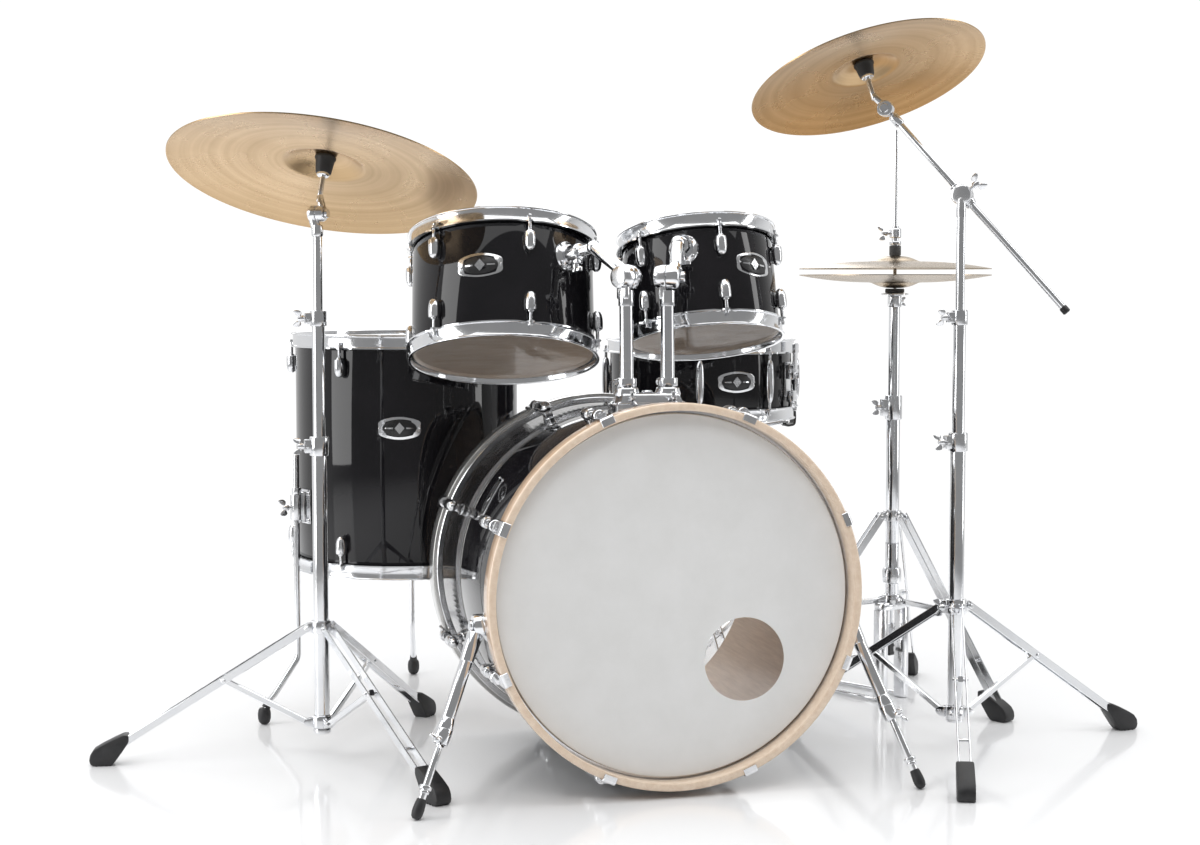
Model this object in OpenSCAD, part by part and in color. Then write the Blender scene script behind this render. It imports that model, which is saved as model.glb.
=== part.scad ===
// Acoustic drum kit: bass drum, two rack toms, floor tom, snare drum, hi-hat,
// ride cymbal on a straight stand and crash cymbal on a boom stand.
// Millimetres, +Z up. The front head of the bass drum faces -Y, the player sits on the +Y side.

/* [Bass drum] */
// Outside diameter of the bass drum shell (22 in)
bass_d = 558.8; // [500:0.1:620]
// Depth of the bass drum shell (18 in)
bass_depth = 456; // [400:1:520]
// Width of each wooden hoop
bass_hoop_w = 38; // [30:1:50]
// Radius of the port hole in the front head
port_r = 65; // [40:1:80]
// How far the spurs lean the drum back, in degrees
bass_lean = 1.3; // [0:0.1:3]

/* [Toms] */
// Outside diameter of the large rack tom (12 in)
large_d = 304.8; // [280:0.1:340]
// Depth of the large rack tom
large_depth = 200; // [180:1:240]
// Outside diameter of the small rack tom (10 in)
small_d = 254; // [230:1:280]
// Depth of the small rack tom
small_depth = 172; // [150:1:210]
// Outside diameter of the floor tom (16 in)
floor_d = 406.4; // [360:0.1:460]
// Depth of the floor tom
floor_depth = 412; // [360:1:440]
// Height of the floor tom's lower edge above the floor
floor_z = 275; // [240:1:320]

/* [Snare] */
// Outside diameter of the snare drum (14 in)
snare_d = 355.6; // [330:0.1:380]
// Depth of the snare drum
snare_depth = 136; // [110:1:170]
// Height of the snare drum's lower edge above the floor
snare_z = 532; // [480:1:580]

/* [Cymbals] */
// Diameter of the ride cymbal (20 in)
ride_d = 508; // [480:1:560]
// Diameter of the crash cymbal (16 in)
crash_d = 406.4; // [380:0.1:460]
// Diameter of the hi-hat cymbals (14 in)
hat_d = 355.6; // [330:0.1:380]
// Gap between the two hi-hat edges
hat_gap = 10; // [6:0.5:25]

/* [Stands] */
// Radius of a stand's base tube
base_r = 12.75; // [11:0.05:15]
// Radius of a stand's middle tube
mid_r = 10.5; // [9:0.1:11]
// Radius of a stand's upper tube
top_r = 7.5; // [6:0.1:8]
// Radius of the circle the cymbal stand feet stand on
stand_r = 366; // [300:1:420]

/* [Hidden] */
$fn = 96;
shift = [-23.524, -465.37, 0];
fit = 0.05;
bass_r = bass_d / 2;
hoop_ro = 297;
hoop_ri = 285;
bass_z = hoop_ro;
bass_edge = 28;
bass_rear = bass_edge + bass_depth;
bass_len = bass_rear + bass_edge;
rod_x = bass_r + 21;
large_r = large_d / 2;
small_r = small_d / 2;
floor_r = floor_d / 2;
snare_r = snare_d / 2;
shell_t = 7;
lip = 9;

large_top = [-178, 438.4, 862.6];
large_tilt = 16;
large_az = 78;
large_lug = 136;
small_top = [140, 359.3, 865.8];
small_tilt = 13.8;
small_az = 92;
small_lug = 117;
floor_xy = [-291.4, 778];
floor_lug = -133;
snare_xy = [305, 866];
snare_lug = -108;
strainer_az = -40;

post_y = 167.5;
post_gap = 68;
post_x = -2;
post_r = 11;
barrel_z = 788;
left_arm_az = 121;
right_arm_az = 62;

spur_y = 75;
spur_dz = -40;
left_foot = [-409, -14, -2.9];
right_foot = [378, -37, -3.4];

ride_xy = [-498, 399];
ride_pivot_z = 899;
ride_tilt = 19.7;
ride_az = 57.3;
ride_feet = 172;

boom_xy = [550, 209];
boom_feet = 8;
boom_clamp_z = 933;
boom_az = 147.5;
boom_el = 48.4;
boom_up = 197;
boom_down = 256;
boom_side = 24;
crash_tilt = 23.6;
crash_az = 109.7;

hat_xy = [598.6, 596.3];
hat_z = 802;
hat_feet = 178;
hat_feet_r = 268;
pedal_az = 118;
pedal_len = 290;

leg_top_z = 241;
leg_low_z = 60;
leg_in = 24;
leg_joint_r = 160;

// ---------- helpers ----------

module ring(ro, ri, z0, z1) {
  translate([0, 0, z0])
    difference() {
      cylinder(r = ro, h = z1 - z0);
      translate([0, 0, -1]) cylinder(r = ri, h = z1 - z0 + 2);
    }
}

// a child drawn up +Z from the origin is carried to start at a and point at b
module aim(a, b) {
  v = b - a;
  translate(a)
    rotate([0, acos(v[2] / norm(v)), atan2(v[1], v[0])])
      children();
}

module bar(a, b, r) {
  aim(a, b) cylinder(r = r, h = norm(b - a));
}

// a horizontal cylinder whose axis lies at angle az, from s0 to s1 along that axis
module axle(az, r, s0, s1) {
  rotate([0, 90, az])
    translate([0, 0, s0])
      cylinder(r = r, h = s1 - s0);
}

module kit() {
  translate(shift) children();
}

// everything carried by the bass drum leans with it about the rear hoop's rest on the floor
module on_bass() {
  kit()
    translate([0, bass_len, 0])
      rotate([-bass_lean, 0, 0])
        translate([0, -bass_len, 0])
          children();
}

// bass drum's own frame: z along the drum from front to back, x right, y down
module bass_axis() {
  on_bass()
    translate([0, 0, bass_z])
      rotate([-90, 0, 0])
        children();
}

module lean_to(top, tilt, az, drop) {
  translate(top)
    rotate([0, tilt, az])
      translate([0, 0, -drop])
        children();
}

// where a point of a leaned drum's own frame lies in the frame it leans in
function lean_pt(top, tilt, az, p) =
  let (x = p[0] * cos(tilt) + p[2] * sin(tilt), z = p[2] * cos(tilt) - p[0] * sin(tilt))
    top + [x * cos(az) - p[1] * sin(az), x * sin(az) + p[1] * cos(az), z];

// outer end of a tom bracket's arm, seen from the post's barrel
function arm_end(top, tilt, az, arm_az, r, drop, x) =
  lean_pt(top, tilt, az, [r * cos(arm_az + 180 - az), r * sin(arm_az + 180 - az), -lip - drop])
    - [x, post_y, barrel_z];

module at_large() {
  on_bass() lean_to(large_top, large_tilt, large_az, lip + large_depth) children();
}

module at_small() {
  on_bass() lean_to(small_top, small_tilt, small_az, lip + small_depth) children();
}

module at_floor() {
  kit() translate([floor_xy[0], floor_xy[1], floor_z]) children();
}

module at_snare() {
  kit() translate([snare_xy[0], snare_xy[1], snare_z]) children();
}

module at_ride() {
  kit() translate([ride_xy[0], ride_xy[1], 0]) children();
}

module at_boom() {
  kit() translate([boom_xy[0], boom_xy[1], 0]) children();
}

module at_hat() {
  kit() translate([hat_xy[0], hat_xy[1], 0]) children();
}

// wing bolt pointing along +X from the origin
module wing_bolt(reach) {
  rotate([0, 90, 0]) cylinder(r = 3, h = reach);
  translate([reach - 1, 0, 0]) rotate([0, 90, 0]) cylinder(r = 5.5, h = 9);
  translate([reach + 2, -2.2, -15]) cube([13, 4.4, 30]);
}

// ---------- drum pieces, z = 0 at the lower bearing edge ----------

module drum_shell(r, depth, t) {
  ring(r, r - t, 0, depth);
}

module head_cap(r, depth) {
  translate([0, 0, depth]) cylinder(r = r + 2.2, h = 0.4);
  ring(r + 2.2, r + 0.3, depth - 9, depth);
}

module drum_heads(r, depth) {
  head_cap(r, depth);
  translate([0, 0, depth]) mirror([0, 0, 1]) head_cap(r, depth);
}

module flanged_hoop(r, z, n, a0) {
  difference() {
    union() {
      translate([0, 0, z])
        rotate_extrude()
          polygon([[r + 2.4, -16], [r + 9.6, -16], [r + 9.6, -13.6], [r + 4.6, -13.6],
            [r + 4.6, lip - 2.4], [r + 8, lip - 2.4], [r + 8, lip], [r + 2.4, lip]]);
      for (i = [0 : n - 1])
        rotate([0, 0, a0 + i * 360 / n])
          translate([r + 8.5, 0, z - 15.8])
            cylinder(r = 5.9, h = 2);
    }
    for (i = [0 : n - 1])
      rotate([0, 0, a0 + i * 360 / n])
        translate([r + 8.5, 0, z - 20])
          cylinder(r = 3.2, h = 10);
  }
}

module drum_hoops(r, depth, n, a0) {
  flanged_hoop(r, depth, n, a0);
  translate([0, 0, depth]) mirror([0, 0, 1]) flanged_hoop(r, depth, n, a0);
}

// tension rod that stands on a lug and passes the hoop ear
module tension_rod(r, z, z_lug) {
  translate([r + 8.5, 0, z_lug]) cylinder(r = 2.9, h = z - 13.6 - z_lug);
  translate([r + 8.5, 0, z - 13.6]) cylinder(r = 3.8, h = 2);
  translate([r + 8.5, 0, z - 11.6]) cylinder(r = 3.4, h = 8);
}

module bullet_lug(r, z) {
  translate([r + 8.5, 0, z - 58]) cylinder(r = 8, h = 26);
  translate([r + 8.5, 0, z - 58]) sphere(r = 8);
  translate([r + 8.5, 0, z - 34]) cylinder(r = 6, h = 8);
  translate([r - 4, -6, z - 60]) cube([12, 12, 26]);
}

module drum_lugs(r, depth, n, a0) {
  difference() {
    for (i = [0 : n - 1])
      rotate([0, 0, a0 + i * 360 / n]) {
        bullet_lug(r, depth);
        tension_rod(r, depth, depth - 32);
        translate([0, 0, depth])
          mirror([0, 0, 1]) {
            bullet_lug(r, depth);
            tension_rod(r, depth, depth - 32);
          }
      }
    translate([0, 0, -20]) cylinder(r = r, h = depth + 40);
  }
}

// ---------- bass drum ----------

module bass_shell() {
  color("black")
    bass_axis()
      difference() {
        translate([0, 0, bass_edge]) drum_shell(bass_r, bass_depth, shell_t);
        for (s = [-1, 1])
          translate([post_x + s * post_gap / 2, 0, post_y])
            rotate([90, 0, 0])
              cylinder(r = 14, h = 400);
      }
}

// film with a collar turned down to a metal flesh hoop, facing -z from z = 0
module bass_film(holed) {
  difference() {
    translate([0, 0, -0.4]) cylinder(r = bass_r + 1, h = 16.4);
    cylinder(r = bass_r + 0.4, h = 17);
    if (holed)
      translate([112, 103, -2]) cylinder(r = port_r, h = 4);
  }
  ring(bass_r + 11.4, bass_r + 0.9, 10, 16);
}

module bass_front_head() {
  color("white") bass_axis() translate([0, 0, bass_edge]) bass_film(true);
}

module bass_batter_head() {
  color("white")
    bass_axis()
      translate([0, 0, bass_rear])
        mirror([0, 0, 1])
          bass_film(false);
}

module bass_front_hoop() {
  color("burlywood") bass_axis() ring(hoop_ro, hoop_ri, 0, bass_hoop_w);
}

module bass_rear_hoop() {
  color("burlywood") bass_axis() ring(hoop_ro, hoop_ri, bass_len - bass_hoop_w, bass_len);
}

module bass_end_lugs() {
  for (i = [0 : 7])
    rotate([0, 0, 22.5 + i * 45]) {
      translate([rod_x, 0, 88]) cylinder(r = 10, h = 34);
      translate([rod_x, 0, 122]) sphere(r = 10);
      translate([bass_r - 6, -8, 90]) cube([22, 16, 34]);
    }
}

module bass_lugs() {
  color("silver")
    bass_axis()
      difference() {
        union() {
          bass_end_lugs();
          translate([0, 0, bass_len]) mirror([0, 0, 1]) bass_end_lugs();
        }
        cylinder(r = bass_r, h = bass_len);
      }
}

// claw hooked over the hoop edge, with its rod running back to the lug
module claw() {
  translate([hoop_ro, -11, -4]) cube([6, 22, 46]);
  translate([hoop_ro - 10, -11, -4]) cube([16, 22, 3.6]);
  translate([rod_x, 0, 50]) cylinder(r = 4, h = 38);
  translate([rod_x, 0, 40]) cylinder(r = 9, h = 13);
  translate([rod_x, 0, 53]) cylinder(r = 6, h = 8);
}

module bass_end_claws() {
  for (i = [0 : 7])
    rotate([0, 0, 22.5 + i * 45])
      difference() {
        claw();
        translate([0, 0, -0.4]) cylinder(r = hoop_ro + 0.01, h = 41);
      }
}

module bass_claws() {
  color("silver")
    bass_axis() {
      bass_end_claws();
      translate([0, 0, bass_len]) mirror([0, 0, 1]) bass_end_claws();
    }
}

module spur_brackets() {
  color("silver")
    on_bass()
      translate([0, spur_y, bass_z + spur_dz])
        difference() {
          for (s = [0, 180]) {
            axle(s, 24, 270, 288);
            axle(s, 5, 280, 308);
            axle(s, 9, 307.3, 312);
          }
          translate([0, 50, -spur_dz]) rotate([90, 0, 0]) cylinder(r = bass_r, h = 100);
        }
}

module spur_leg(side, foot) {
  hub = [side * 298, spur_y, bass_z + spur_dz];
  run = foot - hub;
  knee = hub + run * 0.62;
  difference() {
    union() {
      translate(hub) axle(side > 0 ? 0 : 180, 18, -9.5, 9);
      bar(hub, knee, 10);
      bar(hub + run * 0.56, hub + run * 0.64, 13);
      bar(knee, foot, 5.5);
      bar(hub + run * 0.86, hub + run * 0.9, 9);
      bar(hub + run * 0.93, foot, 8.4);
      translate(foot) sphere(r = 9);
      translate(hub + run * 0.6) rotate([0, 0, -50]) wing_bolt(20);
    }
    translate(hub) axle(0, 5 + fit, -20, 20);
    translate(hub) axle(side > 0 ? 0 : 180, 30, 9, 40);
    translate(hub) axle(side > 0 ? 180 : 0, 30, 9.5, 40);
  }
}

module left_spur_leg() {
  color("silver") on_bass() spur_leg(-1, left_foot);
}

module right_spur_leg() {
  color("silver") on_bass() spur_leg(1, right_foot);
}

// ---------- rack tom mounts ----------

module tom_mount_base() {
  color("silver")
    on_bass()
      difference() {
        union() {
          translate([post_x - 57, post_y - 32, 560]) cube([114, 64, 44]);
          for (s = [-1, 1])
            translate([post_x + s * post_gap / 2, post_y, 560]) cylinder(r = 21, h = 53.5);
        }
        translate([0, post_y + 60, bass_z]) rotate([90, 0, 0]) cylinder(r = bass_r, h = 120);
        for (s = [-1, 1])
          translate([post_x + s * post_gap / 2, post_y, 500]) cylinder(r = post_r + fit, h = 140);
      }
}

module tom_post(x, az) {
  translate([x, post_y, 0]) {
    difference() {
      union() {
        translate([0, 0, 500]) cylinder(r = post_r, h = 270);
        translate([0, 0, 742]) cylinder(r = 12.6, h = 28);
      }
      translate([0, 0, barrel_z]) axle(az - 90, 20.8, 0.1, 40);
    }
    translate([0, 0, 614]) cylinder(r = 16, h = 14);
    translate([0, 0, barrel_z]) {
      axle(az - 90, 20, -20, 0);
      axle(az - 90, 5, -10, 25);
      axle(az - 90, 9, 22.4, 30);
    }
  }
}

// seen from the post, the ratchet, its arm and the bracket on the drum
module tom_tilter(x, az, knee) {
  translate([x, post_y, barrel_z])
    difference() {
      union() {
        axle(az - 90, 20, 0.4, 22);
        bar([11.2 * cos(az - 90), 11.2 * sin(az - 90), 0], knee, 10.5);
        translate(knee) sphere(r = 11.4);
      }
      axle(az - 90, 5 + fit, -5, 40);
      axle(az - 90, 9.6, 22, 40);
      axle(az - 90, 60, -60, 0.4);
    }
}

// bracket on a rack tom, drawn in that tom's frame; arm reaches out from the shell
module tom_bracket(r, depth, drop, az, reach) {
  rotate([0, 0, az])
    translate([0, 0, depth - drop])
      difference() {
        union() {
          axle(0, 25, r - 10, r + 9);
          axle(0, 15, r, r + 34);
          axle(0, 8.5, r - 40, r + reach);
          translate([r + 22, 0, -12]) rotate([0, 90, -90]) wing_bolt(10);
        }
        translate([0, 0, -60])
          difference() {
            cylinder(r = r, h = 120);
            translate([0, 0, 60]) axle(0, 9, r - 60, r + 5);
          }
      }
}

module large_tom_hole() {
  rotate([0, 0, left_arm_az + 180 - large_az])
    translate([0, 0, large_depth - 62])
      axle(0, 11, large_r - 30, large_r + 10);
}

module small_tom_hole() {
  rotate([0, 0, right_arm_az + 180 - small_az])
    translate([0, 0, small_depth - 50])
      axle(0, 11, small_r - 30, small_r + 10);
}

module left_tom_post() {
  color("silver") on_bass() tom_post(post_x - post_gap / 2, left_arm_az);
}

module right_tom_post() {
  color("silver") on_bass() tom_post(post_x + post_gap / 2, right_arm_az);
}

module left_tom_tilter() {
  color("silver") {
    on_bass()
      tom_tilter(post_x - post_gap / 2, left_arm_az,
        arm_end(large_top, large_tilt, large_az, left_arm_az, large_r + 62, 62, post_x - post_gap / 2));
    at_large() tom_bracket(large_r, large_depth, 62, left_arm_az + 180 - large_az, 66);
  }
}

module right_tom_tilter() {
  color("silver") {
    on_bass()
      tom_tilter(post_x + post_gap / 2, right_arm_az,
        arm_end(small_top, small_tilt, small_az, right_arm_az, small_r + 46, 50, post_x + post_gap / 2));
    at_small() tom_bracket(small_r, small_depth, 50, right_arm_az + 180 - small_az, 50);
  }
}

// ---------- rack toms, floor tom ----------

module large_tom_shell() {
  color("black")
    at_large()
      difference() {
        drum_shell(large_r, large_depth, shell_t);
        large_tom_hole();
      }
}

module large_tom_heads() {
  color("white") at_large() drum_heads(large_r, large_depth);
}

module large_tom_hoops() {
  color("silver") at_large() drum_hoops(large_r, large_depth, 6, large_lug);
}

module large_tom_lugs() {
  color("silver") at_large() drum_lugs(large_r, large_depth, 6, large_lug);
}

module small_tom_shell() {
  color("black")
    at_small()
      difference() {
        drum_shell(small_r, small_depth, shell_t);
        small_tom_hole();
      }
}

module small_tom_heads() {
  color("white") at_small() drum_heads(small_r, small_depth);
}

module small_tom_hoops() {
  color("silver") at_small() drum_hoops(small_r, small_depth, 6, small_lug);
}

module small_tom_lugs() {
  color("silver") at_small() drum_lugs(small_r, small_depth, 6, small_lug);
}

module floor_tom_shell() {
  color("black") at_floor() drum_shell(floor_r, floor_depth, shell_t);
}

module floor_tom_heads() {
  color("white") at_floor() drum_heads(floor_r, floor_depth);
}

module floor_tom_hoops() {
  color("silver") at_floor() drum_hoops(floor_r, floor_depth, 6, floor_lug);
}

module floor_tom_lugs() {
  color("silver") at_floor() drum_lugs(floor_r, floor_depth, 6, floor_lug);
}

module floor_leg() {
  rod_x = floor_r + 22;
  out_x = floor_r + 89;
  difference() {
    translate([floor_r - 10, -19, 78]) cube([26, 38, 66]);
    translate([0, 0, 60]) cylinder(r = floor_r, h = 120);
  }
  translate([rod_x, 0, 88]) cylinder(r = 11.5, h = 46);
  translate([rod_x + 8, 0, 111]) wing_bolt(9);
  bar([rod_x, 0, -162], [rod_x, 0, 205], 5.5);
  translate([rod_x, 0, -162]) sphere(r = 5.9);
  bar([rod_x, 0, -162], [out_x - 22, 0, -222], 5.5);
  translate([out_x - 22, 0, -222]) sphere(r = 5.9);
  bar([out_x - 22, 0, -222], [out_x - 12, 0, -254], 5.5);
  bar([out_x - 14, 0, -246], [out_x - 8, 0, -263], 11);
  translate([out_x - 8, 0, -263]) sphere(r = 12);
}

module floor_tom_legs() {
  color("silver")
    at_floor()
      for (a = [199, 79, 319])
        rotate([0, 0, a])
          floor_leg();
}

// ---------- snare drum ----------

module snare_shell() {
  color("black") at_snare() drum_shell(snare_r, snare_depth, shell_t);
}

module snare_heads() {
  color("white") at_snare() drum_heads(snare_r, snare_depth);
}

module snare_hoops() {
  color("silver")
    at_snare()
      difference() {
        drum_hoops(snare_r, snare_depth, 8, snare_lug);
        rotate([0, 0, strainer_az]) translate([-250, -24, -12]) cube([500, 48, 9.5]);
      }
}

// long lug that serves both heads
module long_lug(r, depth) {
  translate([r + 8.5, 0, 34]) cylinder(r = 6, h = depth - 68);
  translate([r + 8.5, 0, 30]) cylinder(r = 4.5, h = depth - 60);
  for (z = [42, depth - 54])
    translate([r - 4, -5, z]) cube([12, 10, 12]);
}

module snare_lugs() {
  color("silver")
    at_snare()
      difference() {
        union() {
          for (i = [0 : 7])
            rotate([0, 0, snare_lug + i * 45]) {
              long_lug(snare_r, snare_depth);
              tension_rod(snare_r, snare_depth, snare_depth - 40);
              translate([0, 0, snare_depth])
                mirror([0, 0, 1])
                  tension_rod(snare_r, snare_depth, snare_depth - 40);
            }
          rotate([0, 0, strainer_az]) {
            translate([snare_r - 8, -15, 36]) cube([16, 30, 68]);
            translate([snare_r + 4, -18, 26]) cube([16, 36, 20]);
            translate([snare_r + 4, -15, 77]) cube([17, 30, 18]);
            translate([snare_r + 15, -16, 86]) rotate([-90, 0, 0]) cylinder(r = 4, h = 32);
          }
          rotate([0, 0, strainer_az + 180]) translate([snare_r - 8, -20, 34]) cube([19, 40, 32]);
        }
        cylinder(r = snare_r, h = snare_depth);
        rotate([0, 0, strainer_az])
          difference() {
            translate([snare_r + 5, -11.6, 70]) cube([24, 23.2, 44]);
            translate([snare_r + 15, -16, 86]) rotate([-90, 0, 0]) cylinder(r = 4, h = 32);
          }
      }
}

module throw_off_lever() {
  color("silver")
    at_snare()
      rotate([0, 0, strainer_az])
        difference() {
          union() {
            translate([snare_r + 15, -10, 86]) rotate([-90, 0, 0]) cylinder(r = 8, h = 20);
            translate([snare_r + 15, -8, 84]) cube([7, 16, 44]);
            translate([snare_r + 14, -11, 118]) cube([9, 22, 14]);
          }
          translate([snare_r + 15, -40, 86]) rotate([-90, 0, 0]) cylinder(r = 4 + fit, h = 80);
          translate([0, 0, 60]) cylinder(r = snare_r + 8.6, h = 60);
        }
}

module snare_wires() {
  color("silver")
    at_snare()
      rotate([0, 0, strainer_az]) {
        for (s = [-1, 1])
          translate([s * 141 - 9, -21, -2.6]) cube([18, 42, 1.6]);
        for (i = [-4.5 : 1 : 4.5])
          translate([-136, i * 4.2, -1.8]) rotate([0, 90, 0]) cylinder(r = 1, h = 272);
      }
}

// three arms that cradle the lower hoop; z = 0 is the pivot
module basket_arm() {
  bar([10, 0, 10.5], [192, 0, 36], 6);
  difference() {
    translate([175, -14, 25]) cube([28, 28, 39]);
    translate([0, 0, 47.6]) cylinder(r = snare_r + 10.2, h = 40);
    translate([0, 0, 20]) cylinder(r = 180, h = 60);
  }
}

module snare_basket() {
  color("dimgray")
    kit()
      translate([snare_xy[0], snare_xy[1], snare_z - 56.8]) {
        for (a = [4.5, 124.5, 244.5])
          rotate([0, 0, a]) basket_arm();
        difference() {
          translate([0, 0, -4]) cylinder(r = 22, h = 16);
          translate([-30, -8.4, -30]) cube([60, 16.8, 34]);
        }
        difference() {
          translate([-12, -15, -14]) cube([24, 30, 16]);
          translate([-30, -8.4, -30]) cube([60, 16.8, 34]);
          translate([0, -40, -8]) rotate([-90, 0, 0]) cylinder(r = 4 + fit, h = 80);
        }
      }
}

// leg of a tripod as two flat bars, from the collar ear to a rubber foot
module tripod_leg(z_top, r_foot, h) {
  a = atan2(z_top - 14, r_foot - leg_in - 14);
  len = norm([z_top - 14, r_foot - leg_in - 14]);
  for (s = [-1, 1])
    translate([leg_in, s * 9, z_top])
      rotate([0, a, 0])
        translate([-4, -1.5, -h / 2])
          cube([len, 3, h]);
  translate([r_foot - 26, -14, 6]) cube([32, 28, 20]);
  translate([r_foot - 8, -14, 13]) rotate([-90, 0, 0]) cylinder(r = 13, h = 28);
}

module tripod_brace(z_low, r_joint, z_joint, h) {
  b = atan2(z_joint - z_low, r_joint - leg_in);
  len = norm([z_joint - z_low, r_joint - leg_in]);
  translate([leg_in, 0, z_low])
    rotate([0, -b, 0])
      translate([-4, -4.5, -h / 2])
        cube([len + 9, 9, h]);
}

// rigid three-leg base: collar, legs, braces and the lower collar around tube radius r
module tripod(r, z_top, z_low, r_foot, a0, r_joint, z_joint) {
  for (i = [0 : 2])
    rotate([0, 0, a0 + i * 120]) {
      translate([r + 1, -7.6, z_top - 9]) cube([leg_in - r + 5, 15.2, 18]);
      translate([r + 1, -5, z_low - 9]) cube([leg_in - r + 5, 10, 18]);
      tripod_leg(z_top, r_foot, 13);
      tripod_brace(z_low, r_joint, z_joint, 11);
      translate([r_joint, -12, z_joint]) rotate([-90, 0, 0]) cylinder(r = 3.5, h = 24);
      translate([leg_in, -12, z_top]) rotate([-90, 0, 0]) cylinder(r = 3.5, h = 24);
    }
  ring(r + 4.5, r - 0.5, z_top - 13, z_top + 13);
  ring(r + 4.5, r - 0.5, z_low - 12, z_low + 12);
}

module snare_stand() {
  color("silver")
    kit()
      translate([snare_xy[0], snare_xy[1], 0]) {
        tripod(base_r, 190, 70, 232, 30, 110, 112);
        translate([0, 0, 44]) cylinder(r = base_r, h = 300);
        ring(16.3, 9.9, 316, 350);
        translate([-14, 0, 333]) rotate([0, 0, 180]) wing_bolt(12);
        translate([0, 0, 344]) cylinder(r = 10, h = snare_z - 344 - 84);
        translate([-9, -7.9, snare_z - 84]) cube([18, 15.8, 28]);
        translate([0, -22, snare_z - 64.8]) rotate([-90, 0, 0]) cylinder(r = 4, h = 44);
        translate([0, 18, snare_z - 64.8]) rotate([0, 0, 90]) wing_bolt(6);
      }
}

// ---------- cymbals, z = 0 at the edge plane ----------

function bow(x, r, rb, h) = h * (1 - pow((x - rb) / (r - rb), 2));
function dome(x, rb, ht) = ht * (sqrt(1 - pow(x / (rb * 1.02), 2)) - 0.197) / 0.803;

function cymbal_top(r, rb, h, hb, hole) = concat(
  [for (i = [0 : 9]) let (x = r - (r - rb) * i / 10) [x, bow(x, r, rb, h)]],
  [for (i = [0 : 8]) let (x = rb - (rb - hole) * i / 8) [x, h + dome(x, rb, hb)]]
);

module cymbal(r, rb, h, hb, hole, t) {
  up = cymbal_top(r, rb, h, hb, hole);
  n = len(up);
  low = [for (i = [n - 1 : -1 : 0]) [up[i][0], up[i][1] + (i > 11 ? -t - 0.4 : -t)]];
  rotate_extrude($fn = 180)
    polygon(concat([for (p = up) [p[0], p[1] + t]], [for (p = low) [p[0], p[1] + t]]));
}

// rod, cup, felts and wing nut that carry a cymbal; z = 0 at the pivot of the tilter
module cymbal_rod(lift, top, cup_r) {
  cylinder(r = 4.6, h = lift + top + 4);
  translate([0, 0, lift + 4]) cylinder(r = cup_r, h = top - 8.4);
  translate([0, 0, lift + 4]) cylinder(r = 5.6, h = top + 6);
  translate([0, 0, lift + top + 0.5]) cylinder(r = 16, h = 11);
  translate([0, 0, lift + top + 11.5]) cylinder(r = 9, h = 8);
  translate([-17, -2.4, lift + top + 15]) cube([34, 4.8, 14]);
  translate([0, 0, lift + top + 4]) cylinder(r = 3, h = 34);
}

// ---------- ride stand ----------

module base_tube(z0, z1) {
  ring(base_r, mid_r + 0.7, z0, z1);
  ring(16.2, mid_r + fit, z1, z1 + 16);
  ring(16.2, base_r - 0.3, z1 - 16, z1);
  translate([-15, 0, z1]) rotate([0, 0, 180]) wing_bolt(14);
}

module middle_tube(z0, z1) {
  ring(mid_r, top_r + 0.7, z0, z1);
  ring(13.8, top_r + fit, z1, z1 + 13);
  ring(13.8, mid_r - 0.3, z1 - 13, z1);
  translate([-13, 0, z1]) rotate([0, 0, 180]) wing_bolt(13);
}

module ride_stand_base() {
  color("silver")
    at_ride() {
      tripod(base_r, 220, 62, 371, ride_feet, 160, 136);
      base_tube(44, 520);
    }
}

module ride_stand_middle_tube() {
  color("silver") at_ride() middle_tube(330, 729);
}

module ride_stand_upper_tube() {
  color("silver")
    at_ride() {
      translate([0, 0, 590]) cylinder(r = top_r, h = 290);
      translate([0, 0, ride_pivot_z]) {
        difference() {
          union() {
            axle(ride_az - 90, 13, -14, 0);
            bar([0, 0, -30], [-6 * cos(ride_az - 90), -6 * sin(ride_az - 90), -6], 8.5);
          }
          axle(ride_az - 90, 60, 0, 60);
        }
        axle(ride_az - 90, 4, -5, 17);
        axle(ride_az - 90, 7.5, 14.6, 20);
      }
    }
}

module ride_tilter() {
  color("silver")
    at_ride()
      translate([0, 0, ride_pivot_z]) {
        difference() {
          union() {
            axle(ride_az - 90, 13, 0.4, 14.2);
            rotate([0, ride_tilt, ride_az]) bar([0, -7.2, 6], [0, 0, 30], 6.5);
          }
          axle(ride_az - 90, 4 + fit, -5, 40);
          axle(ride_az - 90, 60, -60, 0.4);
        }
        rotate([0, ride_tilt, ride_az])
          difference() {
            translate([0, 0, 24]) cymbal_rod(38, 42.4, 19);
            translate([0, 0, -40]) cylinder(r = 30, h = 64);
          }
      }
}

module ride_cymbal() {
  color("goldenrod")
    at_ride()
      translate([0, 0, ride_pivot_z])
        rotate([0, ride_tilt, ride_az])
          translate([0, 0, 62])
            cymbal(ride_d / 2, 66, 22, 18, 6.6, 2.4);
}

// ---------- boom stand ----------

module boom_stand_base() {
  color("silver")
    at_boom() {
      base_tube(44, 520);
      ring(base_r + 3.8, base_r - 0.5, leg_low_z - 12, leg_low_z + 12);
      for (i = [0 : 2])
        rotate([0, 0, boom_feet + i * 120]) {
          for (s = [-1, 1])
            translate([14, s * 8.3 - 1.7, leg_low_z - 9]) cube([leg_in - 8, 3.4, 18]);
          translate([leg_in, -11, leg_low_z]) rotate([-90, 0, 0]) cylinder(r = 3, h = 22);
        }
    }
}

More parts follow.
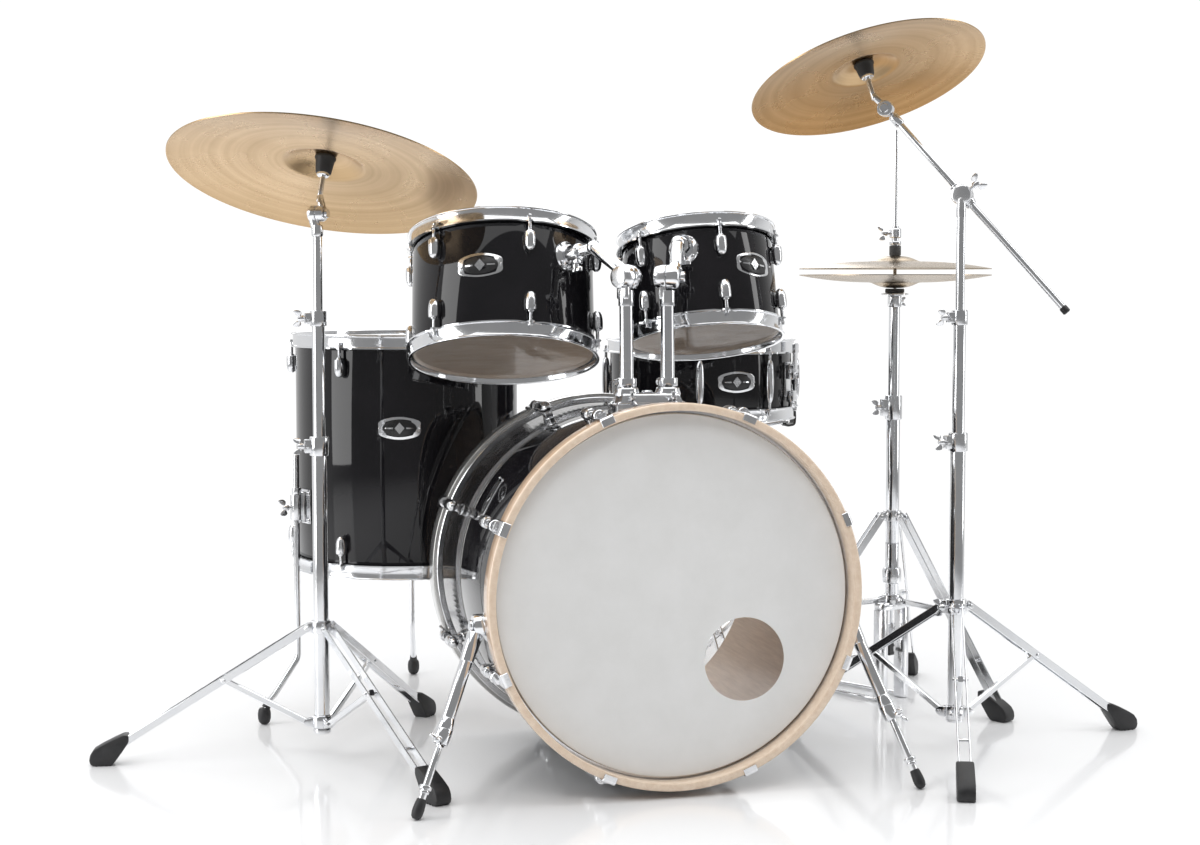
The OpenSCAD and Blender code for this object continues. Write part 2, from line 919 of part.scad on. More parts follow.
module boom_stand_collar() {
  color("silver")
    at_boom() {
      ring(base_r + 5, base_r + fit, leg_top_z - 13, leg_top_z + 13);
      for (i = [0 : 2])
        rotate([0, 0, boom_feet + i * 120]) {
          translate([base_r + 2, -5, leg_top_z - 9]) cube([leg_in - base_r + 4, 10, 18]);
          translate([leg_in, -12, leg_top_z]) rotate([-90, 0, 0]) cylinder(r = 3, h = 24);
        }
      rotate([0, 0, boom_feet + 180]) translate([16, 0, leg_top_z]) wing_bolt(10);
    }
}

function joint_z() = leg_top_z - (leg_joint_r - leg_in) * (leg_top_z - 14) / (stand_r - leg_in - 14);

module boom_leg(i) {
  color("silver")
    at_boom()
      rotate([0, 0, boom_feet + i * 120])
        difference() {
          tripod_leg(leg_top_z, stand_r, 13);
          translate([leg_in, -20, leg_top_z]) rotate([-90, 0, 0]) cylinder(r = 3 + fit, h = 40);
          translate([leg_joint_r, -20, joint_z()]) rotate([-90, 0, 0]) cylinder(r = 4.6, h = 40);
        }
}

module boom_brace(i) {
  color("silver")
    at_boom()
      rotate([0, 0, boom_feet + i * 120]) {
        difference() {
          tripod_brace(leg_low_z, leg_joint_r, joint_z(), 11);
          translate([leg_in, -20, leg_low_z]) rotate([-90, 0, 0]) cylinder(r = 3 + fit, h = 40);
        }
        translate([leg_joint_r, -12.5, joint_z()]) rotate([-90, 0, 0]) cylinder(r = 2.8, h = 25);
      }
}

module boom_stand_leg_1() {
  boom_leg(0);
}

module boom_stand_leg_2() {
  boom_leg(1);
}

module boom_stand_leg_3() {
  boom_leg(2);
}

module boom_stand_brace_1() {
  boom_brace(0);
}

module boom_stand_brace_2() {
  boom_brace(1);
}

module boom_stand_brace_3() {
  boom_brace(2);
}

module boom_stand_middle_tube() {
  color("silver") at_boom() middle_tube(330, 729);
}

module boom_stand_upper_tube() {
  color("silver")
    at_boom() {
      translate([0, 0, 590]) cylinder(r = top_r, h = 326);
      translate([0, 0, boom_clamp_z]) {
        axle(boom_az - 90, 17, -7, 8);
        axle(boom_az - 90, 4.5, 0, 16);
        translate([0, 0, -22]) cylinder(r = 8.1, h = 16);
      }
    }
}

// frame of the boom: z runs up the boom from the clamp, which sits beside the tube
module boom_frame() {
  at_boom()
    translate([boom_side * cos(boom_az - 90), boom_side * sin(boom_az - 90), boom_clamp_z])
      rotate([0, 90 - boom_el, boom_az])
        children();
}

module boom_clamp() {
  color("silver")
    difference() {
      union() {
        at_boom() translate([0, 0, boom_clamp_z]) axle(boom_az - 90, 17, 8.4, 36.2);
        boom_frame() translate([0, -1, -20]) cylinder(r = 10.5, h = 40);
        boom_frame() translate([0, -1, 0]) rotate([0, 0, 180]) wing_bolt(24);
      }
      at_boom() translate([0, 0, boom_clamp_z]) axle(boom_az - 90, 4.5 + fit, -5, 16.6);
      boom_frame() translate([0, -1, -60]) cylinder(r = 5.6 + fit, h = 120);
    }
}

module boom_arm() {
  color("silver")
    boom_frame() {
      translate([0, -1, -boom_down]) cylinder(r = 5.6, h = boom_up + boom_down - 12);
      translate([0, -1, -boom_down - 6]) cylinder(r = 7, h = 8);
      translate([0, -1, boom_up - 36]) cylinder(r = 8.5, h = 21.4);
      translate([0, 0, boom_up])
        rotate([-90, 0, 0]) {
          translate([0, 0, -8]) cylinder(r = 13.5, h = 14);
          translate([0, 0, -2]) cylinder(r = 4, h = 26);
          translate([0, 0, 21]) cylinder(r = 8, h = 5);
        }
    }
}

// frame of the crash cymbal: origin at the tilter's pivot, z along the cymbal's axis
module crash_frame() {
  at_boom()
    translate([boom_side * cos(boom_az - 90), boom_side * sin(boom_az - 90), boom_clamp_z])
      translate([
        boom_up * cos(boom_el) * cos(boom_az),
        boom_up * cos(boom_el) * sin(boom_az),
        boom_up * sin(boom_el)])
        rotate([0, crash_tilt, crash_az])
          children();
}

module crash_tilter() {
  color("silver") {
    difference() {
      union() {
        boom_frame() translate([0, 6.4, boom_up]) rotate([-90, 0, 0]) cylinder(r = 14, h = 14.2);
        crash_frame() bar([-5, 14.5, 6], [0, 22, 24], 5.5);
      }
      boom_frame() translate([0, -40, boom_up]) rotate([-90, 0, 0]) cylinder(r = 4 + fit, h = 80);
    }
    crash_frame()
      translate([0, 22, 0])
        difference() {
          translate([0, 0, 20]) cymbal_rod(33, 37.4, 19);
          translate([0, 0, -40]) cylinder(r = 30, h = 60);
        }
  }
}

module crash_cymbal() {
  color("goldenrod")
    crash_frame()
      translate([0, 22, 53])
        cymbal(crash_d / 2, 56, 19, 16, 6.6, 2);
}

// ---------- hi-hat ----------

module hihat_stand_base() {
  color("silver")
    at_hat() {
      difference() {
        union() {
          tripod(base_r, 349, 190, hat_feet_r, hat_feet, 138, 184);
          translate([0, 0, 176]) cylinder(r = base_r, h = 376);
          ring(16.3, base_r - 0.3, 530, 552);
          translate([0, 0, 222]) cylinder(r = 18, h = 30);
          rotate([0, 0, pedal_az - 90]) {
            translate([-38.5, -13, 172]) cube([77, 26, 16]);
            for (s = [-1, 1])
              translate([s * 30.5 - 8, -13, 0]) cube([16, 26, 174]);
          }
          translate([-15, 0, 558]) rotate([0, 0, 180]) wing_bolt(14);
        }
        translate([0, 0, 150]) cylinder(r = 5.2, h = 200);
        translate([0, 0, 285]) cylinder(r = mid_r + 0.7, h = 315);
      }
      ring(16.3, mid_r + fit, 552, 577);
      rotate([0, 0, pedal_az]) {
        for (s = [-1, 1])
          bar([0, s * 36, 5], [pedal_len, s * 30, 5], 4);
        translate([pedal_len - 22, -44, 0]) cube([44, 88, 9]);
        for (s = [-1, 1])
          translate([pedal_len - 8, s * 38 - 4, 0]) cube([16, 8, 26]);
        translate([pedal_len, -44, 18]) rotate([-90, 0, 0]) cylinder(r = 4, h = 88);
      }
    }
}

module hihat_upper_tube() {
  color("silver")
    at_hat() {
      ring(mid_r, 8.5, 380, 742);
      ring(13, 4.6, 742, 764);
      ring(26, 4.6, 764, 768);
      ring(18, 4.6, 768, 776.2);
    }
}

module hihat_bottom_cymbal() {
  color("goldenrod")
    at_hat()
      translate([0, 0, hat_z])
        mirror([0, 0, 1])
          cymbal(hat_d / 2, 44, 13, 10.5, 6.5, 1.8);
}

module hihat_top_cymbal() {
  color("goldenrod") {
    at_hat() {
      translate([0, 0, hat_z + hat_gap]) cymbal(hat_d / 2, 44, 13, 10.5, 6.5, 1.5);
      translate([0, 0, 118]) cylinder(r = 3.4, h = 952);
      translate([0, 0, 112]) cylinder(r = 7, h = 34);
      translate([0, 0, hat_z + hat_gap + 12]) cylinder(r = 11, h = 10);
      ring(7, 3.2, hat_z + hat_gap + 12, hat_z + hat_gap + 80);
      translate([0, 0, hat_z + hat_gap + 24.6]) cylinder(r = 11, h = 20);
      translate([0, 0, hat_z + hat_gap + 58]) cylinder(r = 11, h = 18);
      translate([-9, 0, hat_z + hat_gap + 67]) rotate([0, 0, 180]) wing_bolt(9);
    }
  }
}

module hihat_pedal() {
  color("silver")
    at_hat()
      rotate([0, 0, pedal_az])
        difference() {
          union() {
            aim([pedal_len, 0, 18], [6, 0, 92]) translate([-3, -24, 12]) cube([6, 48, 264]);
            translate([pedal_len, -33, 18]) rotate([-90, 0, 0]) cylinder(r = 8.6, h = 66);
            aim([pedal_len, 0, 18], [6, 0, 92]) translate([-3.6, -33, 6]) cube([7.2, 66, 58]);
            translate([-3, -8, 84]) cube([34, 16, 8]);
            translate([-2, -7, 85]) cube([6, 14, 25]);
          }
          translate([pedal_len, -60, 18]) rotate([-90, 0, 0]) cylinder(r = 4 + fit, h = 120);
        }
}

bass_shell();
bass_front_head();
bass_batter_head();
bass_front_hoop();
bass_rear_hoop();
bass_lugs();
bass_claws();
spur_brackets();
left_spur_leg();
right_spur_leg();
tom_mount_base();
left_tom_post();
right_tom_post();
left_tom_tilter();
right_tom_tilter();
large_tom_shell();
large_tom_heads();
large_tom_hoops();
large_tom_lugs();
small_tom_shell();
small_tom_heads();
small_tom_hoops();
small_tom_lugs();
floor_tom_shell();
floor_tom_heads();
floor_tom_hoops();
floor_tom_lugs();
floor_tom_legs();
snare_shell();
snare_heads();
snare_hoops();
snare_lugs();
snare_wires();
throw_off_lever();
snare_basket();
snare_stand();
ride_stand_base();
ride_stand_middle_tube();
ride_stand_upper_tube();
ride_tilter();
ride_cymbal();
boom_stand_base();
boom_stand_collar();
boom_stand_leg_1();
boom_stand_leg_2();
boom_stand_leg_3();
boom_stand_brace_1();
boom_stand_brace_2();
boom_stand_brace_3();
boom_stand_middle_tube();
boom_stand_upper_tube();
boom_clamp();
boom_arm();
crash_tilter();
crash_cymbal();
hihat_stand_base();
hihat_upper_tube();
hihat_bottom_cymbal();
hihat_top_cymbal();
hihat_pedal();
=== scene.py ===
# %% [markdown]
# # An acoustic drum kit, piece by piece
# A packed mechanical model already says where every part sits and how it moves, so we load that first as
# a fixed frame. All we do here is give each part the shape and finish that a camera sees.

# %% Load the frame
from math import atan2, cos, hypot, pi, radians, sin, sqrt, tau
import bmesh
import bpy
from mathutils import Matrix, Vector


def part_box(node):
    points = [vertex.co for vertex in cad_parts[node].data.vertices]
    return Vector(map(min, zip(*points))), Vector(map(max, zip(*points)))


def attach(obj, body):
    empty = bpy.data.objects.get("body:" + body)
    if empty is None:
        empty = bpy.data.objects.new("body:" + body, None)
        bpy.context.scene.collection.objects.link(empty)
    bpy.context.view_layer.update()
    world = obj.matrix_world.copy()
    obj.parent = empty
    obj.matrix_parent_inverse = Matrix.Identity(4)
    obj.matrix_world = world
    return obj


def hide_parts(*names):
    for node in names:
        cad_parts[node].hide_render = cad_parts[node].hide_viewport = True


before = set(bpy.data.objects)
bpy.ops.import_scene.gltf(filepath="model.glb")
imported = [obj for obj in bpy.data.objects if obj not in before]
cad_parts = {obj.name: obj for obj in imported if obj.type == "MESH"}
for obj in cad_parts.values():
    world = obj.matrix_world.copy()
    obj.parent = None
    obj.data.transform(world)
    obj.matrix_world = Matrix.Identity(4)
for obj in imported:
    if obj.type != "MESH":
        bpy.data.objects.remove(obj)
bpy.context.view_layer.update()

# %% [markdown]
# ## Frames
# Drum parts are easiest to draw upright at the origin and in millimetres. A 4x4 matrix then carries them to
# their place, exactly as a maker's jig would. `KIT` turns millimetres into metres and is anchored on the
# floor tom's shell, because that shell stands straight and its centre is easy to measure.

# %% Jigs that place the drums and stands
def turn(axis, degrees):
    return Matrix.Rotation(radians(degrees), 4, axis)

def move(x, y, z):
    return Matrix.Translation((x, y, z))

def aim(a, b):
    """Carries the +Z direction from the origin to the line from a to b."""
    v = Vector(b) - Vector(a)
    return Matrix.Translation(a) @ Matrix.Rotation(atan2(v.y, v.x), 4,
            "Z") @ Matrix.Rotation(atan2(hypot(v.x, v.y), v.z), 4, "Y")

def lean(top, tilt, az, drop):
    return move(*top) @ turn("Z", az) @ turn("Y", tilt) @ move(0, 0, -drop)

MIRROR = Matrix.Diagonal((1, 1, -1, 1))
FLOOR_XY = (-291.4, 778)
low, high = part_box("floor_tom_shell")
anchor = (low + high) * 500
KIT = Matrix.Scale(0.001, 4) @ move(anchor.x - FLOOR_XY[0], anchor.y - FLOOR_XY[1], 0)
BASS_R, BASS_DEPTH, BASS_EDGE, BASS_LEN = 279.4, 456, 28, 512
HOOP_RO, HOOP_RI, HOOP_W = 297, 285, 38
LARGE_R, LARGE_DEPTH, SMALL_R, SMALL_DEPTH = 152.4, 200, 127, 172
FLOOR_R, FLOOR_DEPTH, SNARE_R, SNARE_DEPTH = 203.2, 412, 177.8, 136
LIP = 9
ON_BASS = KIT @ move(0, BASS_LEN, 0) @ turn("X", -1.3) @ move(0, -BASS_LEN, 0)
BASS = ON_BASS @ move(0, 0, HOOP_RO) @ turn("X", -90)
LARGE = ON_BASS @ lean((-178, 438.4, 862.6), 16, 78, LIP + LARGE_DEPTH)
SMALL = ON_BASS @ lean((140, 359.3, 865.8), 13.8, 92, LIP + SMALL_DEPTH)
FLOOR = KIT @ move(FLOOR_XY[0], FLOOR_XY[1], 275)
SNARE = KIT @ move(305, 866, 532)
RIDE = KIT @ move(-498, 399, 0)
BOOM = KIT @ move(550, 209, 0)
HAT = KIT @ move(598.6, 596.3, 0)
print("large tom centre", [round(v, 3) for v in (LARGE @ Vector((0, 0, 100)))])

# %% [markdown]
# ## Camera, floor and light
# The camera comes first, since every judgement about shape is made through it: standing height just under
# the toms, a mild telephoto lens, looking slightly down and a little to the right.
# A drum kit is mostly mirrors - chrome, lacquer and bronze - so the light is built for reflections: large
# soft panels give long clean highlights, and a pale floor fills the undersides.

# %% Camera
CAMERA_AT = (-877.1, -2843.1, 785.3)
TURN_RIGHT, PITCH_DOWN = 14.766, 4.017
lens = bpy.data.cameras.new("camera")
lens.lens, lens.sensor_width, lens.sensor_fit = 59.34, 36, "HORIZONTAL"
lens.clip_start, lens.clip_end = 0.05, 60
camera = bpy.data.objects.new("camera", lens)
camera.location = KIT @ Vector(CAMERA_AT)
camera.rotation_euler = (radians(90 - PITCH_DOWN), 0, radians(-TURN_RIGHT))
bpy.context.scene.collection.objects.link(camera)
bpy.context.scene.camera = camera
bpy.context.scene.view_settings.view_transform = "Standard"
print("camera at", [round(v, 3) for v in camera.location])

# %% Floor, sky and soft panels
def put(obj):
    bpy.context.scene.collection.objects.link(obj)
    return obj

def panel(name, at, look, width, height, power, tint=(1, 1, 1)):
    lamp = bpy.data.lights.new(name, "AREA")
    lamp.shape, lamp.size, lamp.size_y, lamp.energy, lamp.color = "RECTANGLE", width, height, power, tint
    obj = put(bpy.data.objects.new(name, lamp))
    obj.location = at
    obj.rotation_euler = (Vector(look) - Vector(at)).to_track_quat("-Z", "Y").to_euler()
    return obj

def floor_material():
    mat = bpy.data.materials.new("studio_floor")
    mat.use_nodes = True
    tree = mat.node_tree
    skin = tree.nodes["Principled BSDF"]
    place = tree.nodes.new("ShaderNodeTexCoord")
    cloud = tree.nodes.new("ShaderNodeTexNoise")
    cloud.inputs["Scale"].default_value = 3
    spread = tree.nodes.new("ShaderNodeMapRange")
    spread.inputs["To Min"].default_value, spread.inputs["To Max"].default_value = 0.08, 0.13
    tree.links.new(place.outputs["Object"], cloud.inputs["Vector"])
    tree.links.new(cloud.outputs["Fac"], spread.inputs["Value"])
    tree.links.new(spread.outputs["Result"], skin.inputs["Roughness"])
    far = tree.nodes.new("ShaderNodeVectorMath")
    far.operation = "LENGTH"
    fade = tree.nodes.new("ShaderNodeMapRange")
    fade.interpolation_type = "SMOOTHSTEP"
    for key, value in (("From Min", 1.2), ("From Max", 3.4), ("To Min", 1.0), ("To Max", 0.0)):
        fade.inputs[key].default_value = value
    tree.links.new(place.outputs["Object"], far.inputs[0])
    tree.links.new(far.outputs["Value"], fade.inputs["Value"])
    tree.links.new(fade.outputs["Result"], skin.inputs["Alpha"])
    skin.inputs["Base Color"].default_value = (0.8, 0.805, 0.815, 1)
    return mat

ground = bpy.data.meshes.new("studio_floor")
ground.from_pydata([(-30, -30, 0), (30, -30, 0), (30, 30, 0), (-30, 30, 0)], [], [(0, 1, 2, 3)])
ground.materials.append(floor_material())
put(bpy.data.objects.new("studio_floor", ground))

world = bpy.data.worlds.new("studio")
bpy.context.scene.world = world
world.use_nodes = True
sky = world.node_tree

def sky_node(kind, **values):
    made = sky.nodes.new(kind)
    for key, value in values.items():
        made.inputs[key.replace("_", " ")].default_value = value
    return made

heading, split, seen = sky_node("ShaderNodeTexCoord"), sky_node("ShaderNodeSeparateXYZ"), sky_node("ShaderNodeLightPath")
backdrop = sky_node("ShaderNodeMapRange", From_Min=-0.6, From_Max=0.6, To_Min=0.27, To_Max=0.78)
backdrop.interpolation_type = "SMOOTHSTEP"
ceiling = sky_node("ShaderNodeMapRange", From_Min=0.3, From_Max=1.0, To_Min=0.0, To_Max=0.3)
room, brightness = sky_node("ShaderNodeMath"), sky_node("ShaderNodeMapRange", To_Max=1.05)
room.operation = "MAXIMUM"
for out, into in ((heading.outputs["Generated"], split.inputs[0]), (split.outputs["Y"], backdrop.inputs["Value"]),
                  (split.outputs["Z"], ceiling.inputs["Value"]), (backdrop.outputs[0], room.inputs[0]),
                  (ceiling.outputs[0], room.inputs[1]), (room.outputs[0], brightness.inputs["To Min"]),
                  (seen.outputs["Is Camera Ray"], brightness.inputs["Value"]),
                  (brightness.outputs[0], sky.nodes["Background"].inputs["Strength"])):
    sky.links.new(out, into)
sky.nodes["Background"].inputs["Color"].default_value = (1, 1, 1, 1)

panel("top_panel", (0, 0.4, 4.2), (0, 0.4, 0), 7.5, 6.5, 235)
panel("left_panel", (-3.8, -0.4, 1.5), (0, 0.2, 0.6), 1.6, 3, 60)
panel("right_panel", (3.4, -1.2, 1.7), (0, 0, 0.6), 0.6, 3, 26)
panel("front_panel", (-1.2, -3.6, 3.9), (0, 0, 0.4), 3, 1.6, 78).visible_glossy = False
panel("back_panel", (0.3, 4.2, 2.4), (0, 0, 0.6), 3.5, 2, 40)

# %% [markdown]
# ## A small workbench
# Nearly every metal part here was turned, drawn, stamped or cast, so four tools make almost all of them: a
# lathe for round work, a sweep for bent rod and strip, a plate cutter for stampings, and a block for
# castings. Each tool closes its own walls, so no seam needs merging afterwards, and each softens its edges,
# because a real edge always catches a thin line of light.

# %% The workbench
class Shape:
    """Parts gathered in one mesh. Sizes are millimetres in the jig `home`."""

    def __init__(self, home):
        self.home, self.mesh = home, bmesh.new()
        self.turned = self.mesh.verts.layers.float.new("turned")

    def add(self, points, faces, place=Matrix(), radii=None):
        carry = self.home @ place
        verts = [self.mesh.verts.new(carry @ Vector(p)) for p in points]
        if radii:
            for v, r in zip(verts, radii):
                v[self.turned] = r
        for face in faces:
            self.mesh.faces.new([verts[i] for i in face])
        return self

    def lathe(self, outline, place=Matrix(), steps=48, closed=False):
        """Turns (radius, height) points about z. Radius 0 is a pole; closed joins the last point to the first."""
        points, radii, rings = [], [], []
        for r, z in outline:
            if r < 1e-6:
                rings.append([len(points)] * steps)
                points.append((0, 0, z))
                radii.append(0)
                continue
            rings.append([len(points) + k for k in range(steps)])
            points += [(r * cos(tau * k / steps), r * sin(tau * k / steps), z) for k in range(steps)]
            radii += [r] * steps
        faces = []
        for i in range(len(rings) if closed else len(rings) - 1):
            a, b = rings[i], rings[(i + 1) % len(rings)]
            for k in range(steps):
                m = (k + 1) % steps
                face = list(dict.fromkeys((a[k], a[m], b[m], b[k])))
                if len(face) > 2:
                    faces.append(face)
        return self.add(points, faces, place, radii)

    def rod(self, a, b, r, r_end=None, soft=0.8, steps=28, place=Matrix()):
        length, r_end = (Vector(b) - Vector(a)).length, r if r_end is None else r_end
        soft = min(soft, r * 0.45, r_end * 0.45, length * 0.45)
        near, far = r - 0.29 * soft, r_end - 0.29 * soft
        outline = [(0, 0), (r - soft, 0), (near, 0.29 * soft), (r, soft), (r_end, length - soft),
                   (far, length - 0.29 * soft), (r_end - soft, length), (0, length)]
        return self.lathe(outline, place @ aim(a, b), steps)

    def ball(self, centre, r, squash=1, steps=28, place=Matrix()):
        arc = [(r * sin(pi * i / 14), -r * squash * cos(pi * i / 14)) for i in range(15)]
        arc[0], arc[-1] = (0, -r * squash), (0, r * squash)
        return self.lathe(arc, place @ move(*centre), steps)

    def tube(self, ro, ri, z0, z1, soft=0.8, steps=96, place=Matrix()):
        s = min(soft, (ro - ri) * 0.4, (z1 - z0) * 0.4)
        outline = [(ro - s, z0), (ro - 0.29 * s, z0 + 0.29 * s), (ro, z0 + s), (ro, z1 - s),
                   (ro - 0.29 * s, z1 - 0.29 * s), (ro - s, z1), (ri + s, z1),
                   (ri + 0.29 * s, z1 - 0.29 * s), (ri, z1 - s), (ri, z0 + s),
                   (ri + 0.29 * s, z0 + 0.29 * s), (ri + s, z0)]
        return self.lathe(outline, place, steps, closed=True)

    def solid(self, points, faces, place=Matrix(), soft=1.0, segments=2):
        """A faceted solid whose corners are rounded before it joins the rest."""
        part = bmesh.new()
        verts = [part.verts.new(p) for p in points]
        for face in faces:
            part.faces.new([verts[i] for i in face])
        bmesh.ops.recalc_face_normals(part, faces=part.faces)
        edges = [e for e in part.edges if len(e.link_faces) == 2 and e.calc_face_angle(0) > radians(24)]
        bmesh.ops.bevel(part, geom=edges, offset=soft, segments=segments, profile=0.5, affect="EDGES",
                clamp_overlap=True)
        part.verts.index_update()
        self.add([v.co.copy() for v in part.verts], [[v.index for v in f.verts] for f in part.faces], place)
        part.free()
        return self

    def block(self, lo, hi, place=Matrix(), soft=1.0, taper=1.0):
        """A box from lo to hi; taper shrinks its top face about its middle."""
        mx, my = (lo[0] + hi[0]) / 2, (lo[1] + hi[1]) / 2
        points = []
        for z, k in ((lo[2], 1), (hi[2], taper)):
            points += [(mx + (x - mx) * k, my + (y - my) * k, z)
                       for x, y in ((lo[0], lo[1]), (hi[0], lo[1]), (hi[0], hi[1]), (lo[0], hi[1]))]
        faces = [(3, 2, 1, 0), (4, 5, 6, 7), (0, 1, 5, 4), (1, 2, 6, 5), (2, 3, 7, 6), (3, 0, 4, 7)]
        return self.solid(points, faces, place, soft)

    def plate(self, outline, z0, z1, place=Matrix(), soft=0.7):
        """A stamping: a flat outline given a thickness from z0 to z1."""
        n = len(outline)
        points = [(x, y, z0) for x, y in outline] + [(x, y, z1) for x, y in outline]
        faces = [tuple(reversed(range(n))), tuple(range(n, 2 * n))]
        faces += [(i, (i + 1) % n, (i + 1) % n + n, i + n) for i in range(n)]
        return self.solid(points, faces, place, soft)

    def sweep(self, path, section, place=Matrix(), closed=False, up=(0, 0, 1)):
        """Carries a flat section along a path of points; the section's y follows `up` as well as it can."""
        path, n = [Vector(p) for p in path], len(section)
        points = []
        for i, p in enumerate(path):
            before = path[i - 1] if i or closed else path[i]
            after = path[(i + 1) % len(path)] if i < len(path) - 1 or closed else path[i]
            along = (after - before).normalized()
            side = along.cross(Vector(up)).normalized()
            lift = side.cross(along)
            points += [p + side * x + lift * y for x, y in section]
        faces, m = [], len(path)
        for i in range(m if closed else m - 1):
            for k in range(n):
                j, q = (i + 1) % m, (k + 1) % n
                faces.append((i * n + k, i * n + q, j * n + q, j * n + k))
        if not closed:
            faces += [tuple(range(n)), tuple(range((m - 1) * n, m * n))]
        return self.add(points, faces, place)

    def join(self, mesh, place=Matrix()):
        """Takes in a finished mesh, for instance one grown by Geometry Nodes."""
        copy = mesh.copy()
        copy.transform(self.home @ place)
        self.mesh.from_mesh(copy)
        bpy.data.meshes.remove(copy)
        return self

    def done(self, name, body, material, slot, stands_for=(), sharp=33, bare=False):
        """Ends the work: outward faces, smooth shading between crisp edges, finish, and what it rides on."""
        bmesh.ops.recalc_face_normals(self.mesh, faces=self.mesh.faces)
        mesh = bpy.data.meshes.new(name)
        self.mesh.to_mesh(mesh)
        self.mesh.free()
        mesh.shade_smooth()
        mesh.set_sharp_from_angle(angle=radians(sharp))
        if bare:
            return mesh
        mesh.materials.clear()
        mesh.materials.append(material)
        obj = put(bpy.data.objects.new(name, mesh))
        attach(obj, body)
        if stands_for:
            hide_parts(*stands_for)
        print(f"{name}: {len(mesh.polygons)} faces on {body}")
        return obj

def circle(r, steps=12, cx=0, cy=0):
    return [(cx + r * cos(tau * k / steps), cy + r * sin(tau * k / steps)) for k in range(steps)]

def strip(width, height, soft=0.6):
    """Section of a flat bar with eased corners."""
    a, b = width / 2, height / 2
    return [(a - soft, -b), (a, -b + soft), (a, b - soft), (a - soft, b),
            (-a + soft, b), (-a, b - soft), (-a, -b + soft), (-a + soft, -b)]

def rounded(corners, radius, steps=6):
    """Replaces each inner corner of a path by an arc, as a tube bender would."""
    pts = [Vector(c) for c in corners]
    out = [pts[0]]
    for i in range(1, len(pts) - 1):
        a, b, c = pts[i - 1], pts[i], pts[i + 1]
        u, v = (a - b).normalized(), (c - b).normalized()
        half = u.angle(v) / 2
        cut = min(radius / max(1e-6, abs(sin(half) / cos(half))), (a - b).length * 0.45, (c - b).length * 0.45)
        start, end = b + u * cut, b + v * cut
        for k in range(steps + 1):
            t = k / steps
            out.append(start * (1 - t) ** 2 + b * 2 * t * (1 - t) + end * t ** 2)
    out.append(pts[-1])
    return out

print("workbench ready")

# %% [markdown]
# ## Finishes
# Chrome, lacquer, coated film, bronze, maple, rubber: each is a real surface with its own fine structure.
# Several share an effect, so those effects are shader node groups, built once and placed with different
# values: `handling` varies gloss the way fingers and cloths do, `fine_relief` gives tiny height differences,
# and `turning_marks` follows the distance from a lathe's axis, which every turned piece stores on its points.

# %% Shared shader groups
def shader_group(name, inputs, outputs):
    group = bpy.data.node_groups.new(name, "ShaderNodeTree")
    for label, value in inputs:
        socket = group.interface.new_socket(label, in_out="INPUT", socket_type="NodeSocketFloat")
        socket.default_value = value
    for label in outputs:
        group.interface.new_socket(label, in_out="OUTPUT", socket_type="NodeSocketFloat")
    return group, group.nodes.new("NodeGroupInput"), group.nodes.new("NodeGroupOutput")

def node(tree, kind, values=(), **settings):
    made = tree.nodes.new(kind)
    for key, value in settings.items():
        setattr(made, key, value)
    for key, value in dict(values).items():
        made.inputs[key].default_value = value
    return made

def sums(tree, operation, a, b=None, c=None):
    """One math node; a plain number or a socket may be given for each input."""
    made = tree.nodes.new("ShaderNodeMath")
    made.operation = operation
    for i, part in enumerate((a, b, c)):
        if part is None:
            continue
        if isinstance(part, (int, float)):
            made.inputs[i].default_value = part
        else:
            tree.links.new(part, made.inputs[i])
    return made.outputs[0]

def make_handling():
    group, entry, leave = shader_group("handling", (("Scale", 14), ("Least", 0.05), ("Most", 0.12)),
            ("Gloss", "Cloud"))
    place = node(group, "ShaderNodeTexCoord")
    cloud = node(group, "ShaderNodeTexNoise", {"Detail": 4, "Roughness": 0.6})
    group.links.new(place.outputs["Object"], cloud.inputs["Vector"])
    group.links.new(entry.outputs["Scale"], cloud.inputs["Scale"])
    spread = node(group, "ShaderNodeMapRange", {"From Min": 0.3, "From Max": 0.7})
    group.links.new(cloud.outputs["Fac"], spread.inputs["Value"])
    group.links.new(entry.outputs["Least"], spread.inputs["To Min"])
    group.links.new(entry.outputs["Most"], spread.inputs["To Max"])
    group.links.new(spread.outputs["Result"], leave.inputs["Gloss"])
    group.links.new(cloud.outputs["Fac"], leave.inputs["Cloud"])
    return group

def make_relief():
    group, entry, leave = shader_group("fine_relief", (("Scale", 900), ("Stretch", 1)), ("Height",))
    place = node(group, "ShaderNodeTexCoord")
    squeeze = node(group, "ShaderNodeVectorMath", operation="MULTIPLY")
    shape = node(group, "ShaderNodeCombineXYZ", {"X": 1, "Y": 1})
    grain = node(group, "ShaderNodeTexNoise", {"Detail": 3, "Roughness": 0.55})
    group.links.new(place.outputs["Object"], squeeze.inputs[0])
    group.links.new(entry.outputs["Stretch"], shape.inputs["Z"])
    group.links.new(shape.outputs[0], squeeze.inputs[1])
    group.links.new(squeeze.outputs[0], grain.inputs["Vector"])
    group.links.new(entry.outputs["Scale"], grain.inputs["Scale"])
    group.links.new(grain.outputs["Fac"], leave.inputs["Height"])
    return group

